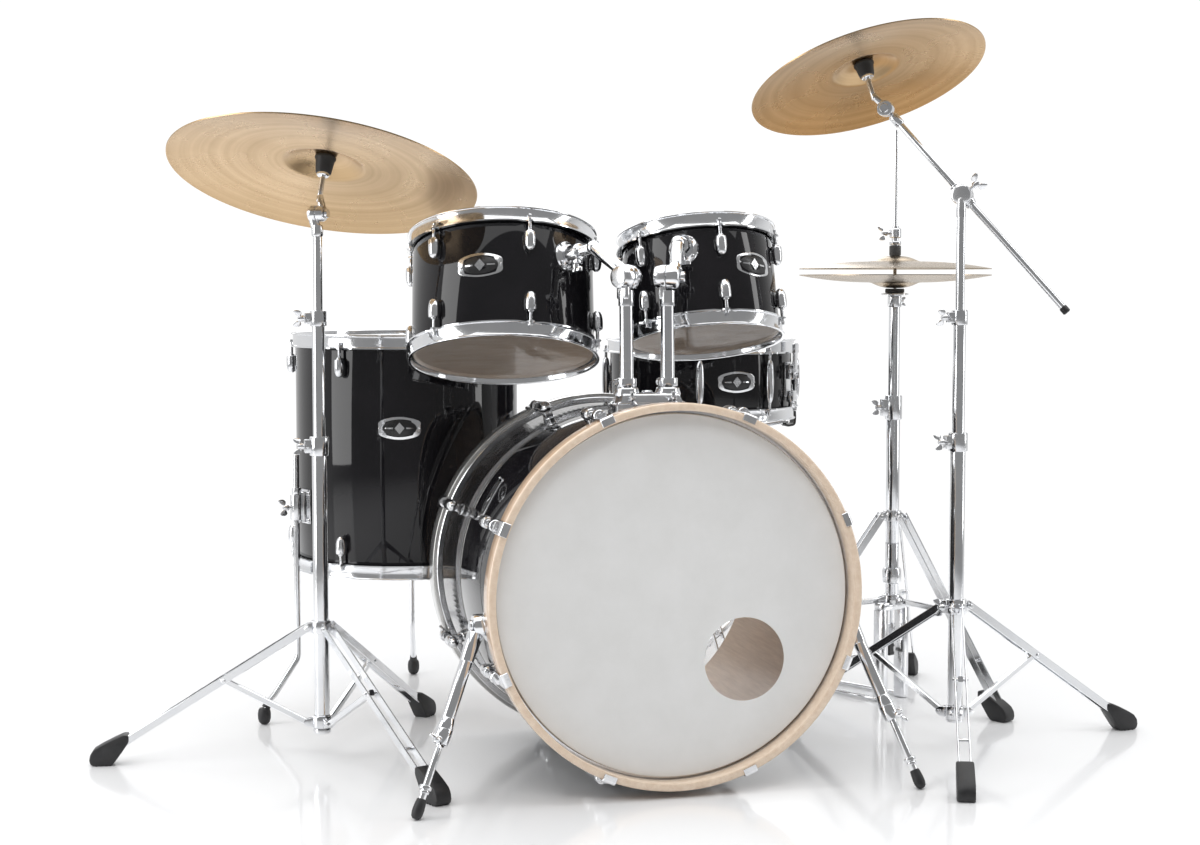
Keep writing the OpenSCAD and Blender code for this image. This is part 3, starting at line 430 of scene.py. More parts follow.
def make_turning():
    group, entry, leave = shader_group("turning_marks", (("Per mm", 0.9), ("Wander", 2.0)), ("Height", "Tone"))
    radius = node(group, "ShaderNodeAttribute", attribute_name="turned")
    fine = sums(group, "MULTIPLY", radius.outputs["Fac"], entry.outputs["Per mm"])
    band = node(group, "ShaderNodeTexNoise", {"Scale": 1, "Detail": 6, "Roughness": 0.8}, noise_dimensions="1D")
    group.links.new(fine, band.inputs["W"])
    wide = node(group, "ShaderNodeTexNoise", {"Scale": 0.045, "Detail": 3, "Roughness": 0.6}, noise_dimensions="1D")
    group.links.new(radius.outputs["Fac"], wide.inputs["W"])
    place = node(group, "ShaderNodeTexCoord")
    blotch = node(group, "ShaderNodeTexNoise", {"Scale": 7, "Detail": 4})
    group.links.new(place.outputs["Object"], blotch.inputs["Vector"])
    tone = sums(group, "MULTIPLY_ADD", wide.outputs["Fac"], 0.62,
            sums(group, "MULTIPLY", blotch.outputs["Fac"], 0.38))
    group.links.new(band.outputs["Fac"], leave.inputs["Height"])
    group.links.new(tone, leave.inputs["Tone"])
    return group

HANDLING, RELIEF, TURNING = make_handling(), make_relief(), make_turning()
print("shader groups", [g.name for g in (HANDLING, RELIEF, TURNING)])

# %% One way to start every finish
def place_group(tree, group, **values):
    made = tree.nodes.new("ShaderNodeGroup")
    made.node_tree = group
    for key, value in values.items():
        made.inputs[key.replace("_", " ")].default_value = value
    return made

def finish(name, color, gloss=(0.05, 0.12), scale=14, relief=None, **fixed):
    """A Principled material with handling marks in its gloss, and fine relief where asked (scale, depth)."""
    mat = bpy.data.materials.new(name)
    mat.use_nodes = True
    tree = mat.node_tree
    skin = tree.nodes["Principled BSDF"]
    skin.inputs["Base Color"].default_value = (*color, 1)
    for key, value in fixed.items():
        skin.inputs[key.replace("_", " ")].default_value = value
    touch = place_group(tree, HANDLING, Scale=scale, Least=gloss[0], Most=gloss[1])
    tree.links.new(touch.outputs["Gloss"], skin.inputs["Roughness"])
    if relief:
        grain = place_group(tree, RELIEF, Scale=relief[0])
        bump = node(tree, "ShaderNodeBump", {"Strength": relief[1], "Distance": relief[2]})
        tree.links.new(grain.outputs["Height"], bump.inputs["Height"])
        tree.links.new(bump.outputs["Normal"], skin.inputs["Normal"])
    return mat, tree, skin, touch

def shade(tree, factor, stops):
    """A colour ramp from (position, colour) stops."""
    ramp = tree.nodes.new("ShaderNodeValToRGB")
    cells = ramp.color_ramp.elements
    while len(cells) < len(stops):
        cells.new(0.5)
    for cell, (at, color) in zip(cells, stops):
        cell.position, cell.color = at, (*color, 1)
    tree.links.new(factor, ramp.inputs["Fac"])
    return ramp.outputs["Color"]

# %% [markdown]
# ### Metals
# Polished chrome is almost a perfect mirror with a faint blue cast, so its interest is in what it reflects.
# Cast fittings are polished less evenly than drawn tube. The cymbals are turned bronze: the lathe leaves
# hundreds of fine rings that smear a lamp into the radial streaks one expects, so their reflection is made
# anisotropic about the axis and their tone drifts in broad rings.

# %% Metals
chrome, tree, skin, touch = finish("polished_chrome", (0.83, 0.84, 0.86), (0.08, 0.15), 22, (160, 0.05, 0.0004),
        Metallic=1)
tint = shade(tree, touch.outputs["Cloud"], ((0.3, (0.80, 0.815, 0.84)), (0.7, (0.87, 0.875, 0.885))))
tree.links.new(tint, skin.inputs["Base Color"])

cast_chrome, tree, skin, touch = finish("cast_chrome", (0.8, 0.81, 0.83), (0.11, 0.22), 30, (240, 0.16, 0.0005),
        Metallic=1)
tint = shade(tree, touch.outputs["Cloud"], ((0.3, (0.74, 0.75, 0.775)), (0.7, (0.86, 0.865, 0.875))))
tree.links.new(tint, skin.inputs["Base Color"])

wire_steel, tree, skin, touch = finish("snare_wire_steel", (0.6, 0.61, 0.62), (0.22, 0.36), 60, Metallic=1)
tint = shade(tree, touch.outputs["Cloud"], ((0.3, (0.5, 0.51, 0.52)), (0.7, (0.7, 0.7, 0.7))))
tree.links.new(tint, skin.inputs["Base Color"])

def bronze(name, per_mm, dark, light, gloss):
    mat, tree, skin, touch = finish(name, light, gloss, 9, Metallic=1, Anisotropic=0.55)
    marks = place_group(tree, TURNING, Per_mm=per_mm)
    tree.links.new(shade(tree, marks.outputs["Tone"], ((0.36, dark), (0.62, light))), skin.inputs["Base Color"])
    bump = node(tree, "ShaderNodeBump", {"Strength": 0.16, "Distance": 0.0002})
    tree.links.new(marks.outputs["Height"], bump.inputs["Height"])
    tree.links.new(bump.outputs["Normal"], skin.inputs["Normal"])
    return mat

cymbal_bronze = bronze("cymbal_bronze", 0.85, (0.47, 0.32, 0.17), (0.59, 0.42, 0.245), (0.24, 0.32))
hat_bronze = bronze("hat_bronze", 1.1, (0.38, 0.30, 0.21), (0.50, 0.41, 0.30), (0.22, 0.32))
print("metals ready")

# %% [markdown]
# ### Lacquer, wood and film
# The shells wear a deep black covering under a clear gloss coat, the hoops and the inner plies are wood,
# and the heads are polyester film, sprayed white on the playing side and left clear underneath. Wood needs
# two patterns: long fibres along the ply and thin glue lines where the plies are cut across.

# %% Lacquer and plastic
black_lacquer, tree, skin, touch = finish("black_lacquer", (0.006, 0.006, 0.007), (0.03, 0.07), 8,
        (55, 0.035, 0.0006),
                                          Coat_Weight=0.55, Coat_Roughness=0.03, Specular_IOR_Level=0.12)
tint = shade(tree, touch.outputs["Cloud"], ((0.3, (0.005, 0.005, 0.006)), (0.75, (0.011, 0.010, 0.012))))
tree.links.new(tint, skin.inputs["Base Color"])

rubber, tree, skin, touch = finish("black_rubber", (0.014, 0.014, 0.015), (0.38, 0.6), 40, (700, 0.35, 0.0004))
tint = shade(tree, touch.outputs["Cloud"], ((0.3, (0.009, 0.009, 0.01)), (0.75, (0.03, 0.03, 0.031))))
tree.links.new(tint, skin.inputs["Base Color"])

nylon, tree, skin, touch = finish("black_nylon", (0.012, 0.012, 0.013), (0.25, 0.4), 50, (400, 0.2, 0.0003))
tint = shade(tree, touch.outputs["Cloud"], ((0.3, (0.01, 0.01, 0.011)), (0.7, (0.022, 0.022, 0.023))))
tree.links.new(tint, skin.inputs["Base Color"])

felt, tree, skin, touch = finish("grey_felt", (0.1, 0.1, 0.1), (0.85, 1.0), 90, (1400, 0.9, 0.0012), Sheen_Weight=0.4)
tint = shade(tree, touch.outputs["Cloud"], ((0.3, (0.035, 0.035, 0.037)), (0.7, (0.09, 0.09, 0.092))))
tree.links.new(tint, skin.inputs["Base Color"])

# %% Wood
def wood(name, dark, light, gloss, fibre=(220, 220, 12), glue=None):
    """Fibres stretched along z of the piece; glue darkens thin rings at the ply spacing given in mm."""
    mat, tree, skin, touch = finish(name, light, gloss, 12, Coat_Weight=0.35, Coat_Roughness=0.12)
    place = node(tree, "ShaderNodeTexCoord")
    pull = node(tree, "ShaderNodeMapping", {"Scale": fibre})
    grain = node(tree, "ShaderNodeTexNoise", {"Scale": 1, "Detail": 6, "Roughness": 0.65})
    tree.links.new(place.outputs["Object"], pull.inputs["Vector"])
    tree.links.new(pull.outputs["Vector"], grain.inputs["Vector"])
    color = shade(tree, grain.outputs["Fac"], ((0.3, dark), (0.68, light)))
    if glue:
        radius = node(tree, "ShaderNodeAttribute", attribute_name="turned")
        ply = sums(tree, "PINGPONG", sums(tree, "ADD", radius.outputs["Fac"], 0.4), glue / 2)
        line = sums(tree, "LESS_THAN", ply, 0.13)
        mix = node(tree, "ShaderNodeMix", data_type="RGBA", blend_type="MULTIPLY")
        tree.links.new(sums(tree, "MULTIPLY", line, 0.45), mix.inputs["Factor"])
        tree.links.new(color, mix.inputs["A"])
        mix.inputs["B"].default_value = (0.62, 0.42, 0.25, 1)
        color = mix.outputs["Result"]
    tree.links.new(color, skin.inputs["Base Color"])
    bump = node(tree, "ShaderNodeBump", {"Strength": 0.12, "Distance": 0.0003})
    tree.links.new(grain.outputs["Fac"], bump.inputs["Height"])
    tree.links.new(bump.outputs["Normal"], skin.inputs["Normal"])
    return mat

hoop_maple = wood("hoop_maple", (0.68, 0.53, 0.40), (0.79, 0.66, 0.53), (0.16, 0.26), (90, 90, 90), glue=1.7)
shell_birch = wood("shell_birch", (0.46, 0.33, 0.23), (0.60, 0.46, 0.34), (0.35, 0.5), (14, 14, 260))

# %% Heads
coated_film, tree, skin, touch = finish("coated_film", (0.78, 0.78, 0.77), (0.42, 0.55), 18, (1500, 0.22, 0.0003),
                                        Coat_Weight=0.15, Coat_Roughness=0.25)
tint = shade(tree, touch.outputs["Cloud"], ((0.25, (0.69, 0.69, 0.68)), (0.75, (0.74, 0.74, 0.735))))
tree.links.new(tint, skin.inputs["Base Color"])

clear_film, tree, skin, touch = finish("clear_film", (0.9, 0.88, 0.84), (0.03, 0.08), 10, (35, 0.03, 0.0005),
        Coat_Weight=0.6)
thin = node(tree, "ShaderNodeMapRange", {"From Min": 0.3, "From Max": 0.7, "To Min": 0.1, "To Max": 0.16})
tree.links.new(touch.outputs["Cloud"], thin.inputs["Value"])
tree.links.new(thin.outputs["Result"], skin.inputs["Alpha"])
# A lighter copy of the birch for the bass drum's plies: painted light, brighter than shell_birch to stand in for the
# light missing inside the dim bass shell.
bass_birch = wood("bass_birch", (0.62, 0.45, 0.31), (0.78, 0.60, 0.44), (0.35, 0.5), (14, 14, 260))
print("finishes ready", len(bpy.data.materials))

# %% [markdown]
# ## Geometry Nodes for what repeats
# Lugs, rods and claws stand in a ring, all alike. One tree takes a single part, drawn at angle zero, and
# places it Count times about z, so a change to the part or the count needs no other edit. A second tree turns
# cymbals from a rule: a grid of points is bent into a disc and lifted by the maker's bow and bell heights.

# %% Tree helpers
def grow_tree(name, inputs):
    tree = bpy.data.node_groups.new(name, "GeometryNodeTree")
    tree.interface.new_socket("Geometry", in_out="INPUT", socket_type="NodeSocketGeometry")
    for label, kind, value in inputs:
        socket = tree.interface.new_socket(label, in_out="INPUT", socket_type="NodeSocket" + kind)
        if value is not None:
            socket.default_value = value
    tree.interface.new_socket("Geometry", in_out="OUTPUT", socket_type="NodeSocketGeometry")
    return tree, tree.nodes.new("NodeGroupInput"), tree.nodes.new("NodeGroupOutput")

def wire(tree, *pairs):
    for out, into in pairs:
        tree.links.new(out, into)

def end_tree(tree, entry, leave, geometry):
    real = tree.nodes.new("GeometryNodeRealizeInstances")
    paint = tree.nodes.new("GeometryNodeSetMaterial")
    wire(tree, (geometry, real.inputs[0]), (real.outputs[0], paint.inputs["Geometry"]),
         (entry.outputs["Finish"], paint.inputs["Material"]), (paint.outputs[0], leave.inputs[0]))

def grow(tree, base=None, **values):
    """Runs a tree with named values and returns the plain mesh it makes."""
    seed = put(bpy.data.objects.new("seed", base or bpy.data.meshes.new("seed")))
    modifier = seed.modifiers.new("grow", "NODES")
    modifier.node_group = tree
    for item in tree.interface.items_tree:
        key = item.name.replace(" ", "_")
        if item.in_out == "INPUT" and key in values:
            modifier[item.identifier] = values[key]
    bpy.context.view_layer.update()
    shape = seed.evaluated_get(bpy.context.evaluated_depsgraph_get())
    mesh = bpy.data.meshes.new_from_object(shape)
    bpy.data.objects.remove(seed)
    return mesh

# %% Ring of equal parts
def make_ring_tree():
    tree, entry, leave = grow_tree("ring_of_parts",
            (("Count", "Int", 6), ("First Angle", "Float", 0.0), ("Finish", "Material", None)))
    points = tree.nodes.new("GeometryNodePoints")
    index = tree.nodes.new("GeometryNodeInputIndex")
    spin = tree.nodes.new("ShaderNodeCombineXYZ")
    copies = tree.nodes.new("GeometryNodeInstanceOnPoints")
    step = sums(tree, "DIVIDE", tau, entry.outputs["Count"])
    angle = sums(tree, "MULTIPLY_ADD", index.outputs[0], step, entry.outputs["First Angle"])
    wire(tree, (entry.outputs["Count"], points.inputs["Count"]), (angle, spin.inputs["Z"]),
         (points.outputs[0], copies.inputs["Points"]), (entry.outputs["Geometry"], copies.inputs["Instance"]),
         (spin.outputs[0], copies.inputs["Rotation"]))
    end_tree(tree, entry, leave, copies.outputs[0])
    return tree

RING = make_ring_tree()

def ring_of(part, count, first, material):
    """part is a Shape drawn at angle zero in a jig without scale."""
    mesh = part.done("part", "", None, "", bare=True)
    return grow(RING, mesh, Count=count, First_Angle=radians(first), Finish=material)

# %% Cymbal from its bow and bell
def make_cymbal_tree():
    tree, entry, leave = grow_tree("turned_cymbal", (
        ("Radius", "Float", 200.0), ("Bell Radius", "Float", 60.0), ("Bow Height", "Float", 20.0),
        ("Bell Height", "Float", 16.0), ("Hole Radius", "Float", 6.6), ("Thickness", "Float", 2.0),
        ("Finish", "Material", None)))
    rings, around = 84, 192
    grid = tree.nodes.new("GeometryNodeMeshGrid")
    for key, value in (("Size X", 1.0), ("Size Y", 1.0), ("Vertices X", rings), ("Vertices Y", around + 1)):
        grid.inputs[key].default_value = value
    place = tree.nodes.new("GeometryNodeInputPosition")
    split = tree.nodes.new("ShaderNodeSeparateXYZ")
    wire(tree, (place.outputs[0], split.inputs[0]))
    across = sums(tree, "ADD", split.outputs["X"], 0.5)
    angle = sums(tree, "MULTIPLY", sums(tree, "ADD", split.outputs["Y"], 0.5), tau)
    reach = sums(tree, "SUBTRACT", entry.outputs["Radius"], entry.outputs["Hole Radius"])
    r = sums(tree, "MULTIPLY_ADD", across, reach, entry.outputs["Hole Radius"])
    run = sums(tree, "DIVIDE", sums(tree, "SUBTRACT", r, entry.outputs["Bell Radius"]),
               sums(tree, "SUBTRACT", entry.outputs["Radius"], entry.outputs["Bell Radius"]))
    bow = sums(tree, "MULTIPLY", entry.outputs["Bow Height"],
               sums(tree, "SUBTRACT", 1.0, sums(tree, "POWER", sums(tree, "MAXIMUM", run, 0.0), 2.0)))
    share = sums(tree, "POWER", sums(tree, "DIVIDE", r, entry.outputs["Bell Radius"]), 2.7)
    bell = sums(tree, "MULTIPLY_ADD", sums(tree, "SUBTRACT", 1.0, share), entry.outputs["Bell Height"],
            entry.outputs["Bow Height"])
    height = sums(tree, "SMOOTH_MAX", bow, bell, 5.0)
    spot = tree.nodes.new("ShaderNodeCombineXYZ")
    wire(tree, (sums(tree, "MULTIPLY", r, sums(tree, "COSINE", angle)), spot.inputs["X"]),
         (sums(tree, "MULTIPLY", r, sums(tree, "SINE", angle)), spot.inputs["Y"]), (height, spot.inputs["Z"]))
    keep = tree.nodes.new("GeometryNodeStoreNamedAttribute")
    keep.data_type, keep.domain = "FLOAT", "POINT"
    keep.inputs["Name"].default_value = "turned"
    shift = tree.nodes.new("GeometryNodeSetPosition")
    seam = tree.nodes.new("GeometryNodeMergeByDistance")
    seam.inputs["Distance"].default_value = 0.001
    wire(tree, (grid.outputs["Mesh"], keep.inputs["Geometry"]), (r, keep.inputs["Value"]),
         (keep.outputs[0], shift.inputs["Geometry"]), (spot.outputs[0], shift.inputs["Position"]),
         (shift.outputs[0], seam.inputs["Geometry"]))
    end_tree(tree, entry, leave, seam.outputs[0])
    return tree

CYMBAL = make_cymbal_tree()

def cymbal_mesh(radius, bell, bow, dome, thickness, material):
    """Grows the skin, then gives it its thickness downwards."""
    skin = grow(CYMBAL, Radius=float(radius), Bell_Radius=float(bell), Bow_Height=float(bow), Bell_Height=float(dome),
                Thickness=float(thickness), Finish=material)
    part = bmesh.new()
    part.from_mesh(skin)
    bmesh.ops.recalc_face_normals(part, faces=part.faces)
    if sum(f.normal.z for f in part.faces) < 0:
        bmesh.ops.reverse_faces(part, faces=part.faces)
    part.to_mesh(skin)
    part.free()
    holder = put(bpy.data.objects.new("holder", skin))
    wall = holder.modifiers.new("wall", "SOLIDIFY")
    wall.thickness, wall.offset, wall.use_quality_normals = thickness, -1, True
    bpy.context.view_layer.update()
    mesh = bpy.data.meshes.new_from_object(holder.evaluated_get(bpy.context.evaluated_depsgraph_get()))
    bpy.data.objects.remove(holder)
    mesh.transform(move(0, 0, thickness))
    print("cymbal", radius, len(mesh.polygons), "faces")
    return mesh

# %% [markdown]
# ## One recipe for four drums
# Toms, floor tom and snare are the same drum at four sizes: a covered shell, a head at each end, two
# flanged hoops that press the heads down, and a ring of lugs whose rods pull the hoops together. So one
# function builds them all. The hoop is the subtle part: its lower flange is cut back at both sides of
# each ear, which we get by letting the lathe change radius with the angle.

# %% Parts of a drum
def flanged_hoop(shape, r, lugs, first, place):
    """Triple-flanged steel hoop; z = 0 is the drum's bearing edge."""
    outline = [(2.4, -15.3), (2.9, -16), (9.0, -16), (9.6, -15.4), (9.6, -14.4), (9.1, -13.8), (6.6, -13.6),
               (5.2, -12.9), (4.6, -11.4), (4.6, 4.4), (5.0, 5.8), (6.0, 6.6), (7.5, 6.8), (8.0, 7.3),
               (8.0, 8.4), (7.5, 9), (4.4, 9), (3.1, 8.4), (2.4, 7.0)]
    steps, base = lugs * 44, len(outline)
    points, faces = [], []
    for dr, z in outline:
        for k in range(steps):
            a = tau * k / steps
            off = abs((a - radians(first) + pi / lugs) % (tau / lugs) - pi / lugs) * r
            reach = dr
            if z < -13 and dr > 4.7:
                t = min(1, max(0, (off - 9) / 12))
                flange = 5.4 + (9.6 - 5.4) * t * t * (3 - 2 * t)
                ear = 8.5 + sqrt(max(0, 36 - off * off)) if off < 6 else 0
                reach = min(dr, 5.4) + (max(flange, ear) - 5.4) * min(1, max(0, (dr - 5) / 4))
            points.append(((r + reach) * cos(a), (r + reach) * sin(a), z))
    for i in range(base):
        j = (i + 1) % base
        for k in range(steps):
            m = (k + 1) % steps
            faces.append((i * steps + k, i * steps + m, j * steps + m, j * steps + k))
    shape.add(points, faces, place)

def head_film(shape, r, place, steps=128):
    shape.lathe([(0, 0.35), (r * 0.5, 0.35), (r - 3, 0.33), (r - 0.4, 0.1), (r + 0.9, -2.0), (r + 1.2, -8),
                 (r + 0.8, -8), (r + 0.5, -2.1), (r - 0.8, -0.25), (r - 3, 0), (r * 0.5, 0.05), (0, 0.05)],
                         place, steps)

def tension_rod(part, r, z_lug, place):
    part.rod((r + 8.5, 0, z_lug), (r + 8.5, 0, -13.4), 2.9, soft=0.3, steps=14, place=place)
    part.lathe([(0, -13.5), (3.7, -13.5), (3.8, -13), (3.8, -11.8), (3.4, -11.4), (3.3, -9.2), (2.6, -8.8),
            (0, -8.8)],
               place @ move(r + 8.5, 0, 0), 18)
    part.block((r + 6.1, -2.4, -9), (r + 10.9, 2.4, -3.8), place, soft=0.5, taper=0.92)

def bullet_lug(part, r, place):
    """Small cast lug: a bullet with its flat end towards the rod, on a curved foot."""
    part.lathe([(0, -66), (3.2, -65.4), (6.2, -62.6), (8.2, -58), (9.2, -52), (9.5, -44), (9.3, -36.5),
                (8.7, -34.6), (7.4, -33.7), (5.6, -33.4), (5.2, -32.6), (5.0, -31.2), (0, -31)],
               place @ move(r + 8.5, 0, 0), 32)
    part.plate([(x * 6.2, y * 14 - 49) for x, y in circle(1, 20)], -0.6, 5,
            place @ move(r, 0, 0) @ turn("Y", 90) @ turn("Z", 90), 0.8)

def spindle_lug(part, r, depth):
    """Long snare lug that tapers to a rod socket at each end."""
    half = depth / 2 - 28
    outline = [(0, -half)]
    for i in range(17):
        t = -1 + i / 8
        outline.append((4.0 + 4.3 * sqrt(max(0, 1 - t * t)) + (0 if abs(t) < 1 else -0.3), half * t))
    outline.append((0, half))
    part.lathe(outline, move(r + 8.5, 0, depth / 2), 28)
    for z in (-18, 18):
        part.block((r - 1, -5, depth / 2 + z - 7), (r + 7, 5, depth / 2 + z + 7), soft=1.2)

def wrapped(shape, r, outline, height, place=Matrix()):
    """A flat outline of (along, up) laid on the shell; height is its (inner, outer) rise over the shell."""
    n = len(outline)
    points = []
    for h, k in ((height[0], 1.0), (height[1] * 0.75, 1.0), (height[1], 0.965)):
        for u, v in outline:
            a = u * k / r
            points.append(((r + h) * cos(a), (r + h) * sin(a), v * k))
    faces = [tuple(reversed(range(n))), tuple(range(2 * n, 3 * n))]
    for level in (0, 1):
        faces += [(level * n + i, level * n + (i + 1) % n, (level + 1) * n + (i + 1) % n,
                (level + 1) * n + i) for i in range(n)]
    shape.add(points, faces, place)

def badge(name, home, r, azimuth, z, body, slot, stands_for=()):
    """A plain oval badge: silver plate, dark field, and a small lozenge between two bars."""
    at = turn("Z", azimuth) @ move(0, 0, z)
    plate, field = Shape(home), Shape(home)
    wings = [(44 * cos(a) * (1 - 0.16 * cos(2 * a) ** 2), 20 * sin(a)) for a in (tau * k / 56 for k in range(56))]
    wrapped(plate, r, wings, (-0.4, 1.3), at)
    wrapped(field, r, [(30 * cos(tau * k / 48), 14.6 * sin(tau * k / 48)) for k in range(48)], (0.6, 1.65), at)
    wrapped(plate, r, [(9, 0), (0, 10.5), (-9, 0), (0, -10.5)], (1.0, 2.1), at)
    for s in (-1, 1):
        wrapped(plate, r, [(s * 12, 1.5), (s * 12, -1.5), (s * 25, -1.1), (s * 25, 1.1)], (1.0, 2.0), at)
        plate.ball((r + 1.2, s * 35.5, 0), 1.7, 1, 12, at @ turn("Z", 0))
    plate.done(name + "_badge_plate", body, cast_chrome, slot, sharp=40)
    field.done(name + "_badge_field", body, nylon, slot, sharp=40)

# %% The four drums
def drum(name, home, r, depth, lugs, first, body, snare=False):
    top, under = move(0, 0, depth), MIRROR
    shell, head, hoop = name + "_shell", name + "_heads", name + "_hoops"
    Shape(home).tube(r, r - 1.3, 1.4, depth - 1.4, 0.5, 160).done(name + "_covering", body, black_lacquer,
            "shell_black", (shell,))
    ply = Shape(home)
    ply.lathe([(r - 1.4, 1.6), (r - 2.6, 0.1), (r - 3.2, 0.1), (r - 7, 4), (r - 7, depth - 4),
               (r - 3.2, depth - 0.1), (r - 2.6, depth - 0.1), (r - 1.4, depth - 1.6)], steps=160, closed=True)
    ply.done(name + "_plies", body, shell_birch, "shell_black", (shell,))
    batter, clear = Shape(home), Shape(home)
    head_film(batter, r, top)
    head_film(clear, r, under)
    batter.done(name + "_batter_head", body, coated_film, "head_white", (head,))
    clear.done(name + "_lower_head", body, clear_film, "head_clear" if not snare else "head_white", (head,))
    hoops = Shape(home)
    for place in (top, under):
        flanged_hoop(hoops, r, lugs, first, place)
        hoops.tube(r + 2.35, r + 1.3, -9, -4.4, 0.3, 160, place)
    hoops.done(name + "_flanged_hoops", body, chrome, "chrome", (hoop,))
    part = Shape(Matrix())
    if snare:
        spindle_lug(part, r, depth)
    for place in (top, under):
        if not snare:
            bullet_lug(part, r, place)
        tension_rod(part, r, -34 if not snare else -29, place)
    fittings = Shape(home).join(ring_of(part, lugs, first, cast_chrome))
    return fittings

for name, home, r, depth, lugs, first, body in (
        ("large_tom", LARGE, LARGE_R, LARGE_DEPTH, 6, 136, "large_tom"),
        ("small_tom", SMALL, SMALL_R, SMALL_DEPTH, 6, 117, "small_tom"),
        ("floor_tom", FLOOR, FLOOR_R, FLOOR_DEPTH, 6, -133, "standing_parts")):
    fittings = drum(name, home, r, depth, lugs, first, body)
    vent = turn("Z", first + 150) @ move(r + 0.1, 0, depth / 2) @ turn("Y", 90)
    fittings.lathe([(3.2, -1), (7, -1), (7.2, 0), (6.4, 1.3), (4.4, 1.5), (3.2, 0.6)], vent, 28, closed=True)
    fittings.done(name + "_lugs_and_rods", body, cast_chrome, "chrome", (name + "_lugs",))
print("toms ready")

# %% [markdown]
# ## Bass drum
# The biggest drum lies on its side. Its front head is one sheet of film with a round port cut off-centre,
# so its rings of vertices slide from circles about the port to circles about the drum: the film stays flat
# and evenly meshed, with no star of thin triangles. The wooden hoops are turned from glued plies, and the
# claws that grip them are bent strip with a cast boss.

# %% Bass shell and heads
PORT_AT, PORT_R = (112, 103), 65

def shell_tube(name, home, r, z0, z1, body, node):
    Shape(home).tube(r, r - 1.3, z0 + 1.4, z1 - 1.4, 0.5, 192).done(name + "_covering", body, black_lacquer,
            "shell_black", (node,))
    ply = Shape(home)
    ply.lathe([(r - 1.4, z0 + 1.6), (r - 2.6, z0 + 0.1), (r - 3.2, z0 + 0.1), (r - 7, z0 + 4), (r - 7, z1 - 4),
               (r - 3.2, z1 - 0.1), (r - 2.6, z1 - 0.1), (r - 1.4, z1 - 1.6)], steps=192, closed=True)
    # The bass plies take the lighter birch copy: painted light for the shaded inside of the big shell.
    ply.done(name + "_plies", body, bass_birch, "shell_black", (node,))

shell_tube("bass_drum", BASS, BASS_R, BASS_EDGE, BASS_EDGE + BASS_DEPTH, "standing_parts", "bass_shell")

def ported_film():
    film, steps = Shape(BASS), 160
    r = BASS_R
    rings = []
    for face_z, order in ((-0.35, range(15)), (-0.05, range(14, -1, -1))):
        for i in order:
            s = (i / 14) ** 0.8
            cx, cy = PORT_AT[0] * (1 - s), PORT_AT[1] * (1 - s)
            rings.append((cx, cy, PORT_R * (1 - s) + (r - 3) * s, BASS_EDGE + face_z))
        if face_z == -0.35:
            rings += [(0, 0, r - 0.4, BASS_EDGE - 0.1), (0, 0, r + 0.9, BASS_EDGE + 2),
                    (0, 0, r + 1.1, BASS_EDGE + 13),
                      (0, 0, r + 0.7, BASS_EDGE + 13), (0, 0, r + 0.5, BASS_EDGE + 2.1),
                              (0, 0, r - 0.8, BASS_EDGE + 0.3)]
    points = [(cx + rad * cos(tau * k / steps), cy + rad * sin(tau * k / steps), z)
              for cx, cy, rad, z in rings for k in range(steps)]
    faces = []
    for i in range(len(rings)):
        j = (i + 1) % len(rings)
        faces += [(i * steps + k, i * steps + (k + 1) % steps, j * steps + (k + 1) % steps,
                j * steps + k) for k in range(steps)]
    film.add(points, faces)
    return film

ported_film().done("bass_front_film", "standing_parts", coated_film, "head_white", ("bass_front_head",))
batter = Shape(BASS)
head_film(batter, BASS_R, move(0, 0, BASS_EDGE + BASS_DEPTH), 192)
batter.lathe([(0, 0.36), (38, 0.36), (39, 0.5), (39, 0.9), (38.4, 1.1), (0, 1.1)],
        move(0, 0, BASS_EDGE + BASS_DEPTH), 64)
batter.done("bass_batter_film", "standing_parts", clear_film, "head_clear", ("bass_batter_head",))
rings = Shape(BASS)
for place in (move(0, 0, BASS_EDGE), move(0, 0, BASS_LEN - BASS_EDGE) @ MIRROR):
    rings.lathe([(BASS_R + 1.2, 10.6), (BASS_R + 2, 10), (BASS_R + 10.4, 10), (BASS_R + 11.3, 11),
            (BASS_R + 11.3, 15),
                 (BASS_R + 10.4, 16), (BASS_R + 2, 16), (BASS_R + 1.2, 15.4)], place, 192, closed=True)
rings.done("bass_flesh_rings", "standing_parts", cast_chrome, "chrome", ("bass_front_head", "bass_batter_head"))

# %% Bass hoops
grey_lacquer, tree, skin, touch = finish("silver_grey_lacquer", (0.5, 0.495, 0.485), (0.14, 0.26), 16,
        (300, 0.08, 0.0004),
                                         Metallic=0.8, Coat_Weight=0.8, Coat_Roughness=0.08)
tint = shade(tree, touch.outputs["Cloud"], ((0.3, (0.46, 0.46, 0.45)), (0.7, (0.60, 0.595, 0.58))))
tree.links.new(tint, skin.inputs["Base Color"])

def wooden_hoop(name, z0, material, node, front):
    hoop, w = Shape(BASS), HOOP_W
    outline = [(HOOP_RI + 0.9, 0), (HOOP_RO - 3.2, 0), (HOOP_RO - 1.4, 0.5), (HOOP_RO - 0.4, 1.5), (HOOP_RO, 3.2),
               (HOOP_RO, w - 2.5), (HOOP_RO - 0.7, w - 0.7), (HOOP_RO - 2.5, w), (HOOP_RI + 1.6, w),
                       (HOOP_RI + 0.4, w - 0.4),
               (HOOP_RI, w - 1.6), (HOOP_RI, 0.9), (HOOP_RI + 0.3, 0.3)]
    place = move(0, 0, z0) if front else move(0, 0, z0 + w) @ MIRROR
    hoop.lathe(outline, place, 224, closed=True)
    hoop.done(name, "standing_parts", material, "hoop_maple", (node,), sharp=50)

wooden_hoop("bass_front_hoop_wood", 0, hoop_maple, "bass_front_hoop", True)
wooden_hoop("bass_rear_hoop_wood", BASS_LEN - HOOP_W, grey_lacquer, "bass_rear_hoop", False)

# %% Bass lugs, rods and claws
ROD_X = BASS_R + 21

